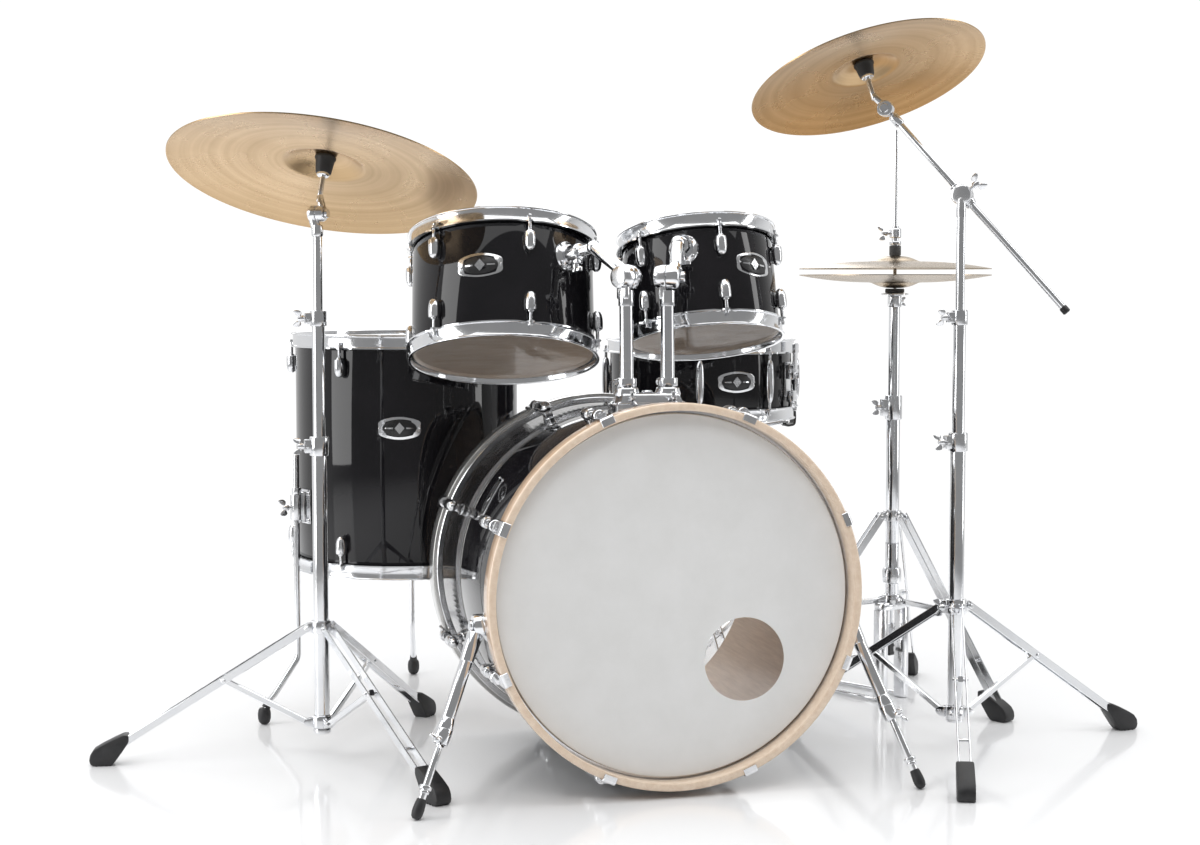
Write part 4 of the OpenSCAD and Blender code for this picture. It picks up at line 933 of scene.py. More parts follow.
def bass_lug(part):
    part.lathe([(0, 132), (3, 131.4), (6.2, 128.6), (8.6, 123.5), (9.8, 116), (10, 106), (9.9, 95), (9.2, 90.6),
                (7.8, 88.6), (5.6, 88.2), (5.4, 87), (4.6, 86.4), (0, 86.2)][::-1], move(ROD_X, 0, 0), 32)
    part.block((BASS_R - 0.6, -6.5, 93), (ROD_X - 2, 6.5, 121), soft=2.2)
    part.plate([(x * 10, y * 19) for x, y in circle(1, 24)], 0, 3.2,
            move(BASS_R - 0.6, 0, 107) @ turn("Y", 90) @ turn("Z", 90), 1)

def claw(part):
    """Strip hooked over the hoop's front edge, with the rod's boss and head outside the hoop."""
    path = rounded([(HOOP_RO - 9.5, 0, -2.1), (HOOP_RO + 2.2, 0, -2.1), (HOOP_RO + 2.2, 0, 41)], 5)
    part.sweep(path, strip(3, 22, 0.9), up=(0, 1, 0))
    part.block((HOOP_RO + 0.9, -8, 24), (ROD_X + 5, 8, 40), soft=3)
    part.lathe([(4.2, 36), (8.4, 36), (9.4, 37.2), (9.6, 40), (9.6, 49), (8.8, 52), (6.6, 53), (4.2, 53)],
            move(ROD_X, 0, 0), 32, closed=True)
    part.rod((ROD_X, 0, 52), (ROD_X, 0, 89), 3.6, soft=0.4, steps=18)
    part.lathe([(0, 29), (4.6, 29), (5.4, 29.8), (5.6, 33), (5.6, 36.2), (0, 36.2)], move(ROD_X, 0, 0), 24)
    part.block((ROD_X - 2.9, -2.9, 20.5), (ROD_X + 2.9, 2.9, 30), soft=0.6)

for kind, draw, node in (("lugs", bass_lug, "bass_lugs"), ("claws", claw, "bass_claws")):
    part = Shape(Matrix())
    draw(part)
    mesh = ring_of(part, 8, 22.5, cast_chrome)
    both = Shape(BASS).join(mesh).join(mesh, move(0, 0, BASS_LEN) @ MIRROR)
    both.done("bass_" + kind + "_cast", "standing_parts", cast_chrome, "chrome", (node,))

# %% [markdown]
# ## Screws a hand turns
# Wing bolts and T-bolts lock every height and angle. They are castings with two thin ears, so a plate with
# a waist in the middle gives their outline, and a turned collar and threaded shank carry it.

# %% Wing bolts
WING = [(5.5, 0), (7.5, 3.4), (12, 6.2), (17.5, 7.2), (21, 5.4), (22, 2.4), (22, -2.4), (21, -5.4),
        (17.5, -7.2), (12, -6.2), (7.5, -3.4)]

def wing_bolt(shape, place, reach=12, size=1.0, spin=0):
    """Shank along +X of `place`; the wings stand across it."""
    at = place @ turn("Y", 90) @ turn("Z", spin)
    shape.rod((0, 0, 0), (0, 0, reach), 3, soft=0.3, steps=16, place=at)
    shape.lathe([(0, reach - 1.5), (5.2 * size, reach - 1.5), (5.8 * size, reach - 0.7), (5.8 * size, reach + 3),
                 (5.0 * size, reach + 7 * size), (3.4 * size, reach + 9.5 * size), (0, reach + 10 * size)], at, 24)
    outline = [(x * 0.72 * size, y * size) for x, y in WING] + [(-x * 0.72 * size, y * size) for x,
            y in reversed(WING)]
    lift = [(x, y + abs(x) * 0.32) for x, y in outline]
    shape.plate(lift, -1.9 * size, 1.9 * size, at @ move(0, 0, reach + 6.5 * size) @ turn("X", 90), 0.9)

def t_bolt(shape, place, reach=12, size=1.0, spin=0):
    """As a wing bolt, with one long rounded bar."""
    at = place @ turn("Y", 90) @ turn("Z", spin)
    shape.rod((0, 0, 0), (0, 0, reach + 2), 3, soft=0.3, steps=16, place=at)
    shape.lathe([(0, reach - 1), (5, reach - 1), (5.8, reach), (5.8, reach + 5), (4.6, reach + 9),
            (0, reach + 9.5)], at, 24)
    bar = [(6.2 * size * (0.72 + 0.28 * abs(sin(a)) ** 0.5) * cos(a),
            15.5 * size * sin(a)) for a in (tau * k / 36 for k in range(36))]
    shape.plate(bar, reach + 5, reach + 12.5, at, 2.6)

# %% Spurs
def spur(side, foot, name):
    hub = Vector((side * 298, 75, HOOP_RO - 40))
    foot = Vector(foot)
    run = foot - hub
    unit = run.normalized()
    plates, leg, tip = Shape(ON_BASS), Shape(ON_BASS), Shape(ON_BASS)
    face = Matrix.Translation(hub) @ turn("Z", 0 if side > 0 else 180) @ turn("Y", 90)
    plates.lathe([(0, -24), (24, -24), (25.5, -22), (25.5, -15), (23, -11.6), (19, -10.2), (0, -10.2)], face, 48)
    plates.plate([(x * 19, y * 33) for x, y in circle(1, 40)], -25, -18.5, face, 2)
    for y in (-25, 25):
        plates.lathe([(0, -19), (4.4, -19), (4.4, -15.6), (2.6, -13.6), (0, -13.6)], face @ move(0, y, 0), 20)
    plates.rod((0, 0, -11), (0, 0, 10), 5, soft=0.4, place=face)
    plates.lathe([(0, 9.4), (9, 9.4), (9.6, 10.2), (9.2, 13.2), (6, 14.4), (0, 14.4)], face, 30)
    leg.lathe([(5.2, -9), (16.6, -9), (18, -7.6), (18, 5.6), (16.4, 8.2), (12, 8.8), (5.2, 8.8)], face, 44,
            closed=True)
    neck = hub + unit * 12
    leg.rod(neck, hub + run * 0.2, 12.6, 10.6, soft=2)
    leg.rod(hub + run * 0.1, hub + run * 0.62, 10, soft=1)
    leg.rod(hub + run * 0.555, hub + run * 0.64, 13, 12.2, soft=2.2)
    leg.rod(hub + run * 0.5, hub + run * 0.56, 10.4, 12.8, soft=0.6)
    leg.rod(hub + run * 0.6, hub + run * 0.94, 5.5, soft=0.6)
    leg.rod(hub + run * 0.855, hub + run * 0.875, 9.6, soft=1)
    leg.rod(hub + run * 0.88, hub + run * 0.895, 7.8, soft=1)
    wing_bolt(leg, Matrix.Translation(hub + run * 0.6) @ turn("Z", -62 if side > 0 else -118), 15, 0.9, 40)
    place = Matrix.Translation(foot) @ aim((0, 0, 0), -unit)
    tip.lathe([(0, -8.8), (5, -7.6), (7.6, -4.4), (8.8, 1), (9, 7), (8.2, 16), (7.4, 21.5), (6.4, 22.5),
            (0, 22.5)], place, 32)
    plates.done(name + "_spur_hub", "standing_parts", cast_chrome, "chrome", ("spur_brackets",))
    leg.done(name + "_spur_tubes", name + "_spur", chrome, "chrome", (name + "_spur_leg",))
    tip.done(name + "_spur_tip", name + "_spur", rubber, "chrome", (name + "_spur_leg",))

spur(-1, (-409, -14, -2.9), "left")
spur(1, (378, -37, -3.4), "right")

# %% Badges
badge("large_tom", LARGE, LARGE_R, -116 - 78, 112, "large_tom", "chrome")
badge("small_tom", SMALL, SMALL_R, -62 - 92, 96, "small_tom", "chrome")
badge("floor_tom", FLOOR, FLOOR_R, -103, 258, "standing_parts", "chrome")
badge("bass_drum", BASS, BASS_R, -150, 250, "standing_parts", "chrome")
print("bass drum ready")

# %% [markdown]
# ## Tom mount
# Two posts stand in a faceted casting on the bass drum. Each carries a ratchet tilter: two toothed discs
# pressed together by a T-bolt, so a tom can be tipped and then locked. The memory collars keep each height.

# %% Casting on the bass drum
POST_X, POST_Y, GAP, BARREL_Z = -2, 167.5, 68, 788
plate = Shape(ON_BASS)
plate.block((POST_X - 58, POST_Y - 31, 566), (POST_X + 58, POST_Y + 31, 588), soft=3)
plate.block((POST_X - 54, POST_Y - 28, 586), (POST_X + 54, POST_Y + 28, 604), soft=4, taper=0.86)
for s in (-1, 1):
    x = POST_X + s * GAP / 2
    plate.lathe([(20.6, 600), (20.6, 604), (19, 608), (18.6, 611), (17.4, 612.6), (12, 613), (12, 600)],
            move(x, POST_Y, 0), 40, closed=True)
    wing_bolt(plate, move(x, POST_Y - 20, 596) @ turn("Z", -90), 12, 0.8, 20)
    for y in (-22, 22):
        plate.lathe([(0, 586), (4.6, 586), (4.6, 589.6), (3, 591), (0, 591)],
                move(POST_X + s * 51, POST_Y + y, 0), 20)
plate.lathe([(0, 602), (9, 602), (9, 606), (6.6, 608), (0, 608.4)], move(POST_X, POST_Y, 0), 32)
plate.done("tom_mount_casting", "standing_parts", cast_chrome, "chrome", ("tom_mount_base",), sharp=28)

# %% Posts and tilters
def tom_post(name, x, az, body, node):
    tube, cast = Shape(ON_BASS), Shape(ON_BASS)
    at = move(x, POST_Y, 0)
    tube.rod((0, 0, 500), (0, 0, 767), 11, soft=1.5, steps=40, place=at)
    for z in (640, 655):
        tube.tube(11.25, 10.5, z, z + 1.4, 0.3, 40, at)
    cast.tube(16, 10.9, 614, 628, 1.6, 44, at)
    cast.block((9, -4, 616), (21, 4, 626), at @ turn("Z", az + 60), 1)
    cast.rod((17, -7, 621), (17, 7, 621), 2.6, soft=0.4, place=at @ turn("Z", az + 60))
    cast.tube(12.6, 10.9, 742, 767, 1.2, 44, at)
    face = at @ move(0, 0, BARREL_Z) @ turn("Z", az - 90) @ turn("Y", 90)
    cast.lathe([(0, -20), (14, -20), (17, -18.6), (19, -14), (20, -7), (20, -1.8), (19, -0.4), (0, -0.4)], face, 52)
    for k in range(26):
        cast.block((14, -0.9, -1.5), (19.2, 0.9, 0.1), face @ turn("Z", k * 360 / 26), 0.3)
    cast.rod((0, 0, -2), (0, 0, 24), 4.9, soft=0.4, place=face)
    cast.lathe([(0, 22.5), (8.4, 22.5), (9, 23.4), (9, 28), (7.6, 29.8), (0, 30)], face, 30)
    cast.block((-11.4, 0.4, 752), (11.4, 12, 780), at @ turn("Z", az), 4)
    tube.done(name + "_tom_post_tube", body, chrome, "chrome", (node,))
    cast.done(name + "_tom_post_fittings", body, cast_chrome, "chrome", (node,))

def tilter(name, x, az, drum_home, r, depth, drum_az, drop, reach, elbow, body, node, spin):
    """elbow is the distance out from the shell at which the two bars meet."""
    bar, cast = Shape(ON_BASS), Shape(drum_home)
    at = move(x, POST_Y, BARREL_Z)
    face = at @ turn("Z", az - 90) @ turn("Y", 90)
    here = ON_BASS @ at
    to_drum = turn("Z", az + 180 - drum_az)
    target = here.inverted() @ drum_home @ to_drum @ Vector((r + elbow, 0, depth - drop))
    bar.lathe([(5.4, 0.5), (19, 0.5), (20, 1.8), (20, 7), (19, 15), (16.4, 19.6), (13, 21.4), (9.8, 21.6),
            (9.8, 18), (5.4, 18)], face, 52, closed=True)
    start = turn("Z", az - 90) @ Vector((11.2, 0, 0))
    out = start + (target - start).normalized() * 12
    bar.rod(out, target, 10.3, soft=1.2, steps=40, place=at)
    bar.rod(out, out + (target - start).normalized() * 11, 12.2, 10.6, soft=1.8, steps=40, place=at)
    bar.ball(target, 11.2, place=at, steps=36)
    bracket = to_drum @ move(0, 0, depth - drop)
    side = bracket @ turn("Y", 90)
    cast.lathe([(14, r - 6), (24.6, r - 2), (25, r + 1.4), (23.6, r + 4), (21, r + 5.4), (18, r + 9),
            (9, r + 9), (9, r - 6)], side, 56, closed=True)
    cast.lathe([(8.6, r + 5), (15, r + 5), (15, r + 30), (14, r + 33), (12, r + 34), (8.6, r + 34)], side, 44,
            closed=True)
    for k in range(4):
        cast.lathe([(0, 4), (3.6, 4), (3.6, 6.6), (2.2, 7.6), (0, 7.6)],
                side @ move(0, 0, r) @ turn("Z", 45 + 90 * k) @ move(20.6, 0, 0), 16)
    cast.rod((r - 38, 0, 0), (r + elbow, 0, 0), 8.4, soft=1, steps=36, place=bracket)
    t_bolt(cast, bracket @ move(r + 22, 0, -10) @ turn("Y", 90) @ turn("X", -90 + spin), 10, 0.9)
    cast.block((r + 12, -8, -19), (r + 32, 8, -8), bracket, 2.4)
    bar.done(name + "_tilter_arm", body, chrome, "chrome", (node,))
    cast.done(name + "_tilter_bracket", body, cast_chrome, "chrome", (node,))

tom_post("left", POST_X - GAP / 2, 121, "left_post", "left_tom_post")
tom_post("right", POST_X + GAP / 2, 62, "right_post", "right_tom_post")
tilter("large_tom", POST_X - GAP / 2, 121, LARGE, LARGE_R, LARGE_DEPTH, 78, 62, 66, 62, "large_tom",
        "left_tom_tilter", 0)
tilter("small_tom", POST_X + GAP / 2, 62, SMALL, SMALL_R, SMALL_DEPTH, 92, 50, 50, 46, "small_tom",
        "right_tom_tilter", 90)

# %% [markdown]
# ## Floor tom legs
# Three bent rods pass through cast brackets; each is held by a wing bolt and ends in a soft rubber tip.

# %% Floor tom legs
rods, cast, tips = Shape(FLOOR), Shape(FLOOR), Shape(FLOOR)
for angle in (199, 79, 319):
    at, x = turn("Z", angle), FLOOR_R + 22
    path = rounded([(x, 0, 203), (x, 0, -162), (x + 45, 0, -222), (x + 59, 0, -236), (x + 66, 0, -258)], 26)
    rods.sweep(path, circle(5.4, 20), at, up=(0, 1, 0))
    rods.ball((x, 0, 203), 5.4, 0.7, 20, at)
    cast.block((FLOOR_R - 0.4, -17, 80), (FLOOR_R + 5, 17, 142), at, 2)
    cast.block((FLOOR_R + 3, -12, 84), (FLOOR_R + 16, 12, 138), at, 3.4)
    cast.tube(11.4, 5.5, 88, 134, 1.6, 40, at @ move(x, 0, 0))
    cast.tube(8.2, 5.5, 134, 146, 1, 32, at @ move(x, 0, 0))
    for z in (87, 135):
        cast.lathe([(0, 0), (3.8, 0), (3.8, 2), (2.4, 3.2), (0, 3.2)],
                at @ move(FLOOR_R + 4, 13.4, z) @ turn("Y", 90), 16)
        cast.lathe([(0, 0), (3.8, 0), (3.8, 2), (2.4, 3.2), (0, 3.2)],
                at @ move(FLOOR_R + 4, -13.4, z) @ turn("Y", 90), 16)
    wing_bolt(cast, at @ move(FLOOR_R + 30, 0, 111), 9, 0.95, angle)
    tips.lathe([(0, -274.6), (6, -274), (9.6, -270.6), (11.4, -264), (11.6, -256), (10.6, -249), (8.4, -245.6),
            (0, -245)],
               at @ move(FLOOR_R + 89, 0, 0), 32)
    tips.rod((FLOOR_R + 86, 0, -246), (FLOOR_R + 81, 0, -236), 7.6, 6.6, soft=1, place=at)
rods.done("floor_tom_leg_rods", "standing_parts", chrome, "chrome", ("floor_tom_legs",))
cast.done("floor_tom_leg_brackets", "standing_parts", cast_chrome, "chrome", ("floor_tom_legs",))
tips.done("floor_tom_leg_tips", "standing_parts", rubber, "chrome", ("floor_tom_legs",))

# %% [markdown]
# ## Snare drum
# The same drum recipe, with long lugs and a bed of coiled wires under the lower head. A single coil would
# carry tens of thousands of faces, so each strand is a slim rod with a wavy outline, and Geometry Nodes sets
# the strands side by side.

# %% Snare drum
STRAINER, R, D = -40, SNARE_R, SNARE_DEPTH
fittings = drum("snare", SNARE, R, D, 8, -108, "snare_drum", snare=True)
fittings.done("snare_lugs_and_rods", "snare_drum", cast_chrome, "chrome", ("snare_lugs",))
extras = Shape(SNARE)
at = turn("Z", STRAINER)
extras.block((R - 0.5, -14, 36), (R + 6, 14, 103), at, 2.4)
extras.block((R + 4, -11, 26), (R + 19, 11, 48), at, 3)
for y in (-14.6, 14.6):
    extras.block((R + 5, y - 2.4, 70), (R + 22, y + 2.4, 98), at, 2)
extras.rod((R + 15, -25, 86), (R + 15, 25, 86), 3.4, soft=0.4, place=at)
extras.lathe([(0, 0), (6, 0), (6.4, 0.8), (6.4, 9), (5.6, 10), (0, 10)], at @ move(R + 12, 0, 16), 28)
for z in (42, 97):
    extras.lathe([(0, 0), (3.6, 0), (3.6, 1.8), (2.2, 2.8), (0, 2.8)], at @ move(R + 5.6, 0, z) @ turn("Y", 90), 16)
back = turn("Z", STRAINER + 180)
extras.block((R - 0.5, -19, 36), (R + 5, 19, 64), back, 2)
extras.block((R + 3, -15, 38), (R + 11, 15, 60), back, 2.4)
for y in (-12, 12):
    extras.lathe([(0, 0), (4.4, 0), (4.4, 2), (2.6, 3.2), (0, 3.2)], back @ move(R + 10.4, y, 49) @ turn("Y", 90), 18)
extras.done("snare_strainer_and_butt", "snare_drum", cast_chrome, "chrome", ("snare_lugs",))
badge("snare", SNARE, R, -85, 68, "snare_drum", "chrome")

lever = Shape(SNARE)
lever.rod((R + 15, -9.6, 86), (R + 15, 9.6, 86), 7.8, soft=1, steps=32, place=at)
lever.sweep(rounded([(R + 18.4, 0, 84), (R + 18.4, 0, 118), (R + 20.4, 0, 138)], 14), strip(15, 5.6, 1.2), at,
        up=(1, 0, 0))
lever.block((R + 15.4, -10.6, 119), (R + 22.6, 10.6, 139), at, 2.6)
lever.done("snare_throw_off", "throw_off", cast_chrome, "chrome", ("throw_off_lever",))

wires = Shape(Matrix())
outline, turns = [(0, -135)], 54
for k in range(turns * 2 + 1):
    outline.append((0.95 if k % 2 else 0.55, -134.5 + 269 * k / (turns * 2)))
wires.lathe(outline + [(0, 135)], turn("Z", STRAINER) @ turn("Y", 90), 6)

def make_row_tree():
    tree, entry, leave = grow_tree("row_of_strands",
            (("Count", "Int", 20), ("Width", "Float", 40.0), ("Along", "Vector", (0, 1, 0)),
            ("Finish", "Material", None)))
    points = tree.nodes.new("GeometryNodePoints")
    index = tree.nodes.new("GeometryNodeInputIndex")
    copies = tree.nodes.new("GeometryNodeInstanceOnPoints")
    scale = tree.nodes.new("ShaderNodeVectorMath")
    scale.operation = "SCALE"
    share = sums(tree, "SUBTRACT", sums(tree, "DIVIDE", index.outputs[0],
            sums(tree, "SUBTRACT", entry.outputs["Count"], 1.0)), 0.5)
    wire(tree, (entry.outputs["Along"], scale.inputs[0]),
            (sums(tree, "MULTIPLY", share, entry.outputs["Width"]), scale.inputs["Scale"]),
         (entry.outputs["Count"], points.inputs["Count"]), (scale.outputs[0], points.inputs["Position"]),
         (points.outputs[0], copies.inputs["Points"]), (entry.outputs["Geometry"], copies.inputs["Instance"]))
    end_tree(tree, entry, leave, copies.outputs[0])
    return tree

across = turn("Z", STRAINER) @ Vector((0, 1, 0))
strands = grow(make_row_tree(), wires.done("strand", "", None, "", bare=True), Count=20, Width=38.0,
        Along=tuple(across), Finish=wire_steel)
bed = Shape(SNARE).join(strands, move(0, 0, -1.8))
for s in (-1, 1):
    bed.block((s * 141 - 8.6, -20.6, -2.5), (s * 141 + 8.6, 20.6, -1.1), at, 0.4)
bed.done("snare_wire_bed", "snare_drum", wire_steel, "wires_steel", ("snare_wires",), sharp=60)

# %% Snare basket
PIVOT = -56.8
arms, grips = Shape(SNARE @ move(0, 0, PIVOT)), Shape(SNARE @ move(0, 0, PIVOT))
arms.lathe([(5, -3.6), (20, -3.6), (21.8, -1.8), (21.8, 6), (20, 9), (12, 11.6), (5, 11.8)], Matrix(), 48,
        closed=True)
arms.block((-11.6, -14.6, -13.6), (11.6, -8.8, 2), soft=1.6)
arms.block((-11.6, 8.8, -13.6), (11.6, 14.6, 2), soft=1.6)
for angle in (4.5, 124.5, 244.5):
    there = turn("Z", angle)
    arms.sweep([(12, 0, 10.8), (100, 0, 22.9), (188, 0, 35.4)], strip(9.6, 7.2, 1.8), there)
    arms.rod((16, -7, 10.6), (16, 7, 10.6), 3.4, soft=0.4, place=there)
    grips.sweep(rounded([(178, 0, 31), (184, 0, 27), (199.4, 0, 29), (200.4, 0, 44), (199.4, 0, 62)], 7),
            strip(4.2, 24, 1.4), there, up=(0, 1, 0))
arms.done("snare_basket_arms", "snare_drum", chrome, "basket_chrome", ("snare_basket",))
grips.done("snare_basket_grips", "snare_drum", rubber, "basket_chrome", ("snare_basket",))
print("snare ready")

# %% [markdown]
# ## Stands
# Every stand repeats the same ideas: telescoping tubes, a clamp with a wing bolt where one tube enters the
# next, and a tripod whose legs are pairs of flat bars riveted to a collar, steadied by a short brace and
# shod with a rubber wedge. The boom stand's tripod folds, so its legs are separate pieces there.

# %% Tripod parts
def leg_bars(shape, feet, z_top, r_foot, joint, place):
    """A double-bar leg from the upper collar to its foot; joint is the brace's rivet (radius, height)."""
    a, b = Vector((24, 0, z_top)), Vector((r_foot - 12, 0, 14))
    for y in (-9, 9):
        shape.sweep([a + (a - b).normalized() * 5, a.lerp(b, 0.5), b], strip(2.8, 13, 0.8),
                place @ move(0, y, 0), up=(0.3, 0, 1))
        shape.lathe([(0, 0), (4, 0), (4, 1.2), (2.6, 2.4), (0, 2.4)],
                place @ move(24, y + (1.4 if y > 0 else -1.4), z_top) @ turn("X", -90 if y > 0 else 90), 16)
        shape.lathe([(0, 0), (4, 0), (4, 1.2), (2.6, 2.4), (0, 2.4)],
                place @ move(joint[0], y + (1.4 if y > 0 else -1.4), joint[1]) @ turn("X", -90 if y > 0 else 90), 16)
    mid = a.lerp(b, 0.74)
    shape.rod(mid + Vector((0, -8, 0)), mid + Vector((0, 8, 0)), 3, soft=0.3, steps=16, place=place)
    outline = [(-30, 0), (-1, 0), (4, 3), (5.6, 10), (4, 19), (-2, 27), (-14, 34), (-34, 44), (-50, 51),
            (-58, 50), (-58, 38), (-47, 22), (-36, 7)]
    feet.plate([(x + r_foot, z) for x, z in outline], -14, 14, place @ turn("X", 90), 5)
    for k in range(3):
        feet.block((r_foot - 24 + 8 * k, -14.3, 0.2), (r_foot - 20 + 8 * k, 14.3, 4), place, 0.8)
    shape.block((b.x - 8, -7.4, 8), (b.x + 5, 7.4, 19), place, 1.6)

def brace_bar(shape, z_low, joint, place):
    a, b = Vector((24, 0, z_low)), Vector((joint[0], 0, joint[1]))
    along = (b - a).normalized()
    shape.sweep([a - along * 4, a.lerp(b, 0.5), b + along * 4], strip(8.4, 10, 1.4), place, up=(0, 0, 1))
    shape.rod((b.x, -7.4, b.z), (b.x, 7.4, b.z), 3.2, soft=0.3, steps=18, place=place)
    shape.rod((24, -6.4, z_low), (24, 6.4, z_low), 3.2, soft=0.3, steps=18, place=place)

def collar(shape, r, z, place=Matrix(), first=0, bolt=False, reach=4.4):
    """Cast ring with three forked ears at height z."""
    shape.tube(r + reach, r + 0.05, z - 9, z + 11, 2, 44, place)
    for k in range(3):
        there = place @ turn("Z", first + 120 * k)
        for y in (-6, 6):
            shape.plate([(r + 1, z - 8), (24, z - 6.4), (28.6, z - 4), (30, z), (28.6, z + 4), (24, z + 6.4),
                    (r + 1, z + 9)],
                        y - 1.6, y + 1.6, there @ turn("X", 90), 0.7)
    if bolt:
        wing_bolt(shape, place @ turn("Z", first + 60) @ move(r + 2, 0, z), 9, 0.85, 30)

def clamp(shape, r, bore, z0, z1, place=Matrix(), side=180, spin=0):
    """Split clamp with two cheeks and a wing bolt across them."""
    shape.tube(r, bore, z0, z1, 2.2, 44, place)
    mid, half = (z0 + z1) / 2, (z1 - z0) / 2
    there = place @ turn("Z", side)
    for y in (-4.6, 4.6):
        shape.block((r - 3.4, y - 2.9, mid - half * 0.7), (r + 8.6, y + 2.9, mid + half * 0.7), there, 1.8)
    shape.rod((r + 4, -9.4, mid), (r + 4, 9.4, mid), 3, soft=0.4, steps=18, place=there)
    shape.lathe([(0, 8), (5, 8), (5, 11), (4, 12), (0, 12)], there @ move(r + 4, 0, mid) @ turn("X", 90), 6)
    wing_bolt(shape, there @ move(r - 2, 0, mid), 13, 0.9, spin)

def tripod(home, name, body, node, r, z_top, z_low, r_foot, first, joint, slot="chrome"):
    bars, feet, cast = Shape(home), Shape(home), Shape(home)
    for k in range(3):
        there = turn("Z", first + 120 * k)
        leg_bars(bars, feet, z_top, r_foot, joint, there)
        brace_bar(bars, z_low, joint, there)
    collar(cast, r, z_top, first=first, bolt=False)
    collar(cast, r, z_low, first=first)
    bars.done(name + "_tripod_bars", body, chrome, slot, (node,))
    feet.done(name + "_tripod_feet", body, rubber, slot, (node,))
    cast.done(name + "_tripod_collars", body, cast_chrome, slot, (node,))

# %% Snare stand
STAND = SNARE @ move(0, 0, -532)
tripod(STAND, "snare_stand", "standing_parts", "snare_stand", 12.75, 190, 70, 232, 30, (110, 112))
tube, cast = Shape(STAND), Shape(STAND)
tube.tube(12.7, 11.2, 44, 344, 0.6, 48)
tube.rod((0, 0, 320), (0, 0, 450), 10, soft=1, steps=40)
clamp(cast, 16.2, 10.4, 316, 350, side=200)
cast.block((-9, -7.8, 446), (9, 7.8, 478), soft=3)
cast.rod((0, -15, 467.2), (0, 15, 467.2), 4, soft=0.4)
wing_bolt(cast, move(0, -15, 467.2) @ turn("Z", -90), 4, 0.8, 60)
tube.done("snare_stand_tubes", "standing_parts", chrome, "chrome", ("snare_stand",))
cast.done("snare_stand_fittings", "standing_parts", cast_chrome, "chrome", ("snare_stand",))

# %% Cymbal stand bases and tubes
def base_stand(home, name, node, first=None, joint=None):
    tube, cast, dark = Shape(home), Shape(home), Shape(home)
    tube.tube(12.7, 11.25, 44.4, 519, 0.6, 48)
    clamp(cast, 16.2, 11.3, 504, 535.6, side=180, spin=24)
    cast.tube(14.6, 12.6, 44.2, 52, 1, 40)
    tube.done(name + "_base_tube", "standing_parts", chrome, "chrome", (node,))
    cast.done(name + "_base_clamp", "standing_parts", cast_chrome, "chrome", (node,))

def middle_stand(home, name, body, node):
    tube, cast = Shape(home), Shape(home)
    tube.tube(10.45, 8.3, 330, 728, 0.6, 44)
    clamp(cast, 13.7, 8.25, 716, 741.6, side=180, spin=-18)
    tube.done(name + "_middle_tube_skin", body, chrome, "chrome", (node,))
    cast.done(name + "_middle_clamp", body, cast_chrome, "chrome", (node,))

def cymbal_rod(cast, soft, lift, top, cup_r, place):
    """Threaded rod with cup, sleeve, felts and wing nut; heights as on the mechanical part."""
    cast.rod((0, 0, -3), (0, 0, lift + top + 12), 4.5, soft=0.4, steps=20, place=place)
    cast.lathe([(4.4, lift + 3), (9, lift + 3), (10.4, lift + 4.6), (10.4, lift + 8), (4.4, lift + 8)], place,
            36, closed=True)
    soft.lathe([(4.6, lift + 8), (11.8, lift + 8), (13, lift + 9.6), (15.6, lift + top - 12),
            (17.6, lift + top - 9), (17.6, lift + top - 6),
                (16.4, lift + top - 4.5), (4.6, lift + top - 4.5)], place, 40, closed=True)
    soft.lathe([(4.8, lift + top + 0.6), (14.6, lift + top + 0.6), (15.8, lift + 2.6 + top),
            (15.8, lift + top + 9), (14.4, lift + top + 11.3), (4.8, lift + top + 11.3)],
               place, 40, closed=True)
    z = lift + top + 12
    cast.lathe([(0, z), (8.2, z), (9, z + 0.8), (9, z + 3), (6.4, z + 7.4), (0, z + 7.8)], place, 32)
    cast.plate([(x * 0.76, y + abs(x) * 0.24) for x, y in WING] + [(-x * 0.76, y + abs(x) * 0.24) for x,
            y in reversed(WING)],
               -2.2, 2.2, place @ move(0, 0, z + 6) @ turn("X", 90), 0.9)
    cast.rod((0, 0, z + 6), (0, 0, lift + top + 37.6), 3, soft=0.4, steps=16, place=place)

def cymbal_piece(name, home, place, body, node, radius, bell, bow, dome, thickness, material, slot="bronze"):
    mesh = cymbal_mesh(radius, bell, bow, dome, thickness, material)
    return Shape(home).join(mesh, place).done(name, body, material, slot, (node,), sharp=60)
print("stand parts ready")

# %% Ride stand
tripod(RIDE, "ride_stand", "standing_parts", "ride_stand_base", 12.75, 220, 62, 371, 172, (160, 136))
base_stand(RIDE, "ride_stand", "ride_stand_base")
middle_stand(RIDE, "ride_stand", "ride_middle", "ride_stand_middle_tube")
RIDE_AZ, RIDE_PIVOT = 57.3, 899
at = move(0, 0, RIDE_PIVOT)
face = at @ turn("Z", RIDE_AZ - 90) @ turn("Y", 90)
tube, cast = Shape(RIDE), Shape(RIDE)
tube.rod((0, 0, 590), (0, 0, 872), 7.45, soft=0.8, steps=36)
cast.lathe([(7.4, 862), (8.6, 862), (9.6, 864), (9.6, 874), (8.4, 880), (7.4, 880)], steps=36, closed=True)
cast.lathe([(0, -14), (9, -14), (12, -12.6), (13, -10), (13, -1.8), (12.2, -0.4), (0, -0.4)], face, 44)
cast.rod((0, 0, -2), (0, 0, 18), 3.95, soft=0.4, steps=20, place=face)
cast.lathe([(0, 14.8), (6.8, 14.8), (7.4, 15.6), (7.4, 18.6), (6.4, 19.8), (0, 19.8)], face, 28)
inward = turn("Z", RIDE_AZ - 90) @ Vector((-7, 0, -7))
cast.rod((0, 0, -30), inward, 8.2, soft=1, steps=32, place=at)
tube.done("ride_upper_tube_skin", "ride_upper", chrome, "chrome", ("ride_stand_upper_tube",))
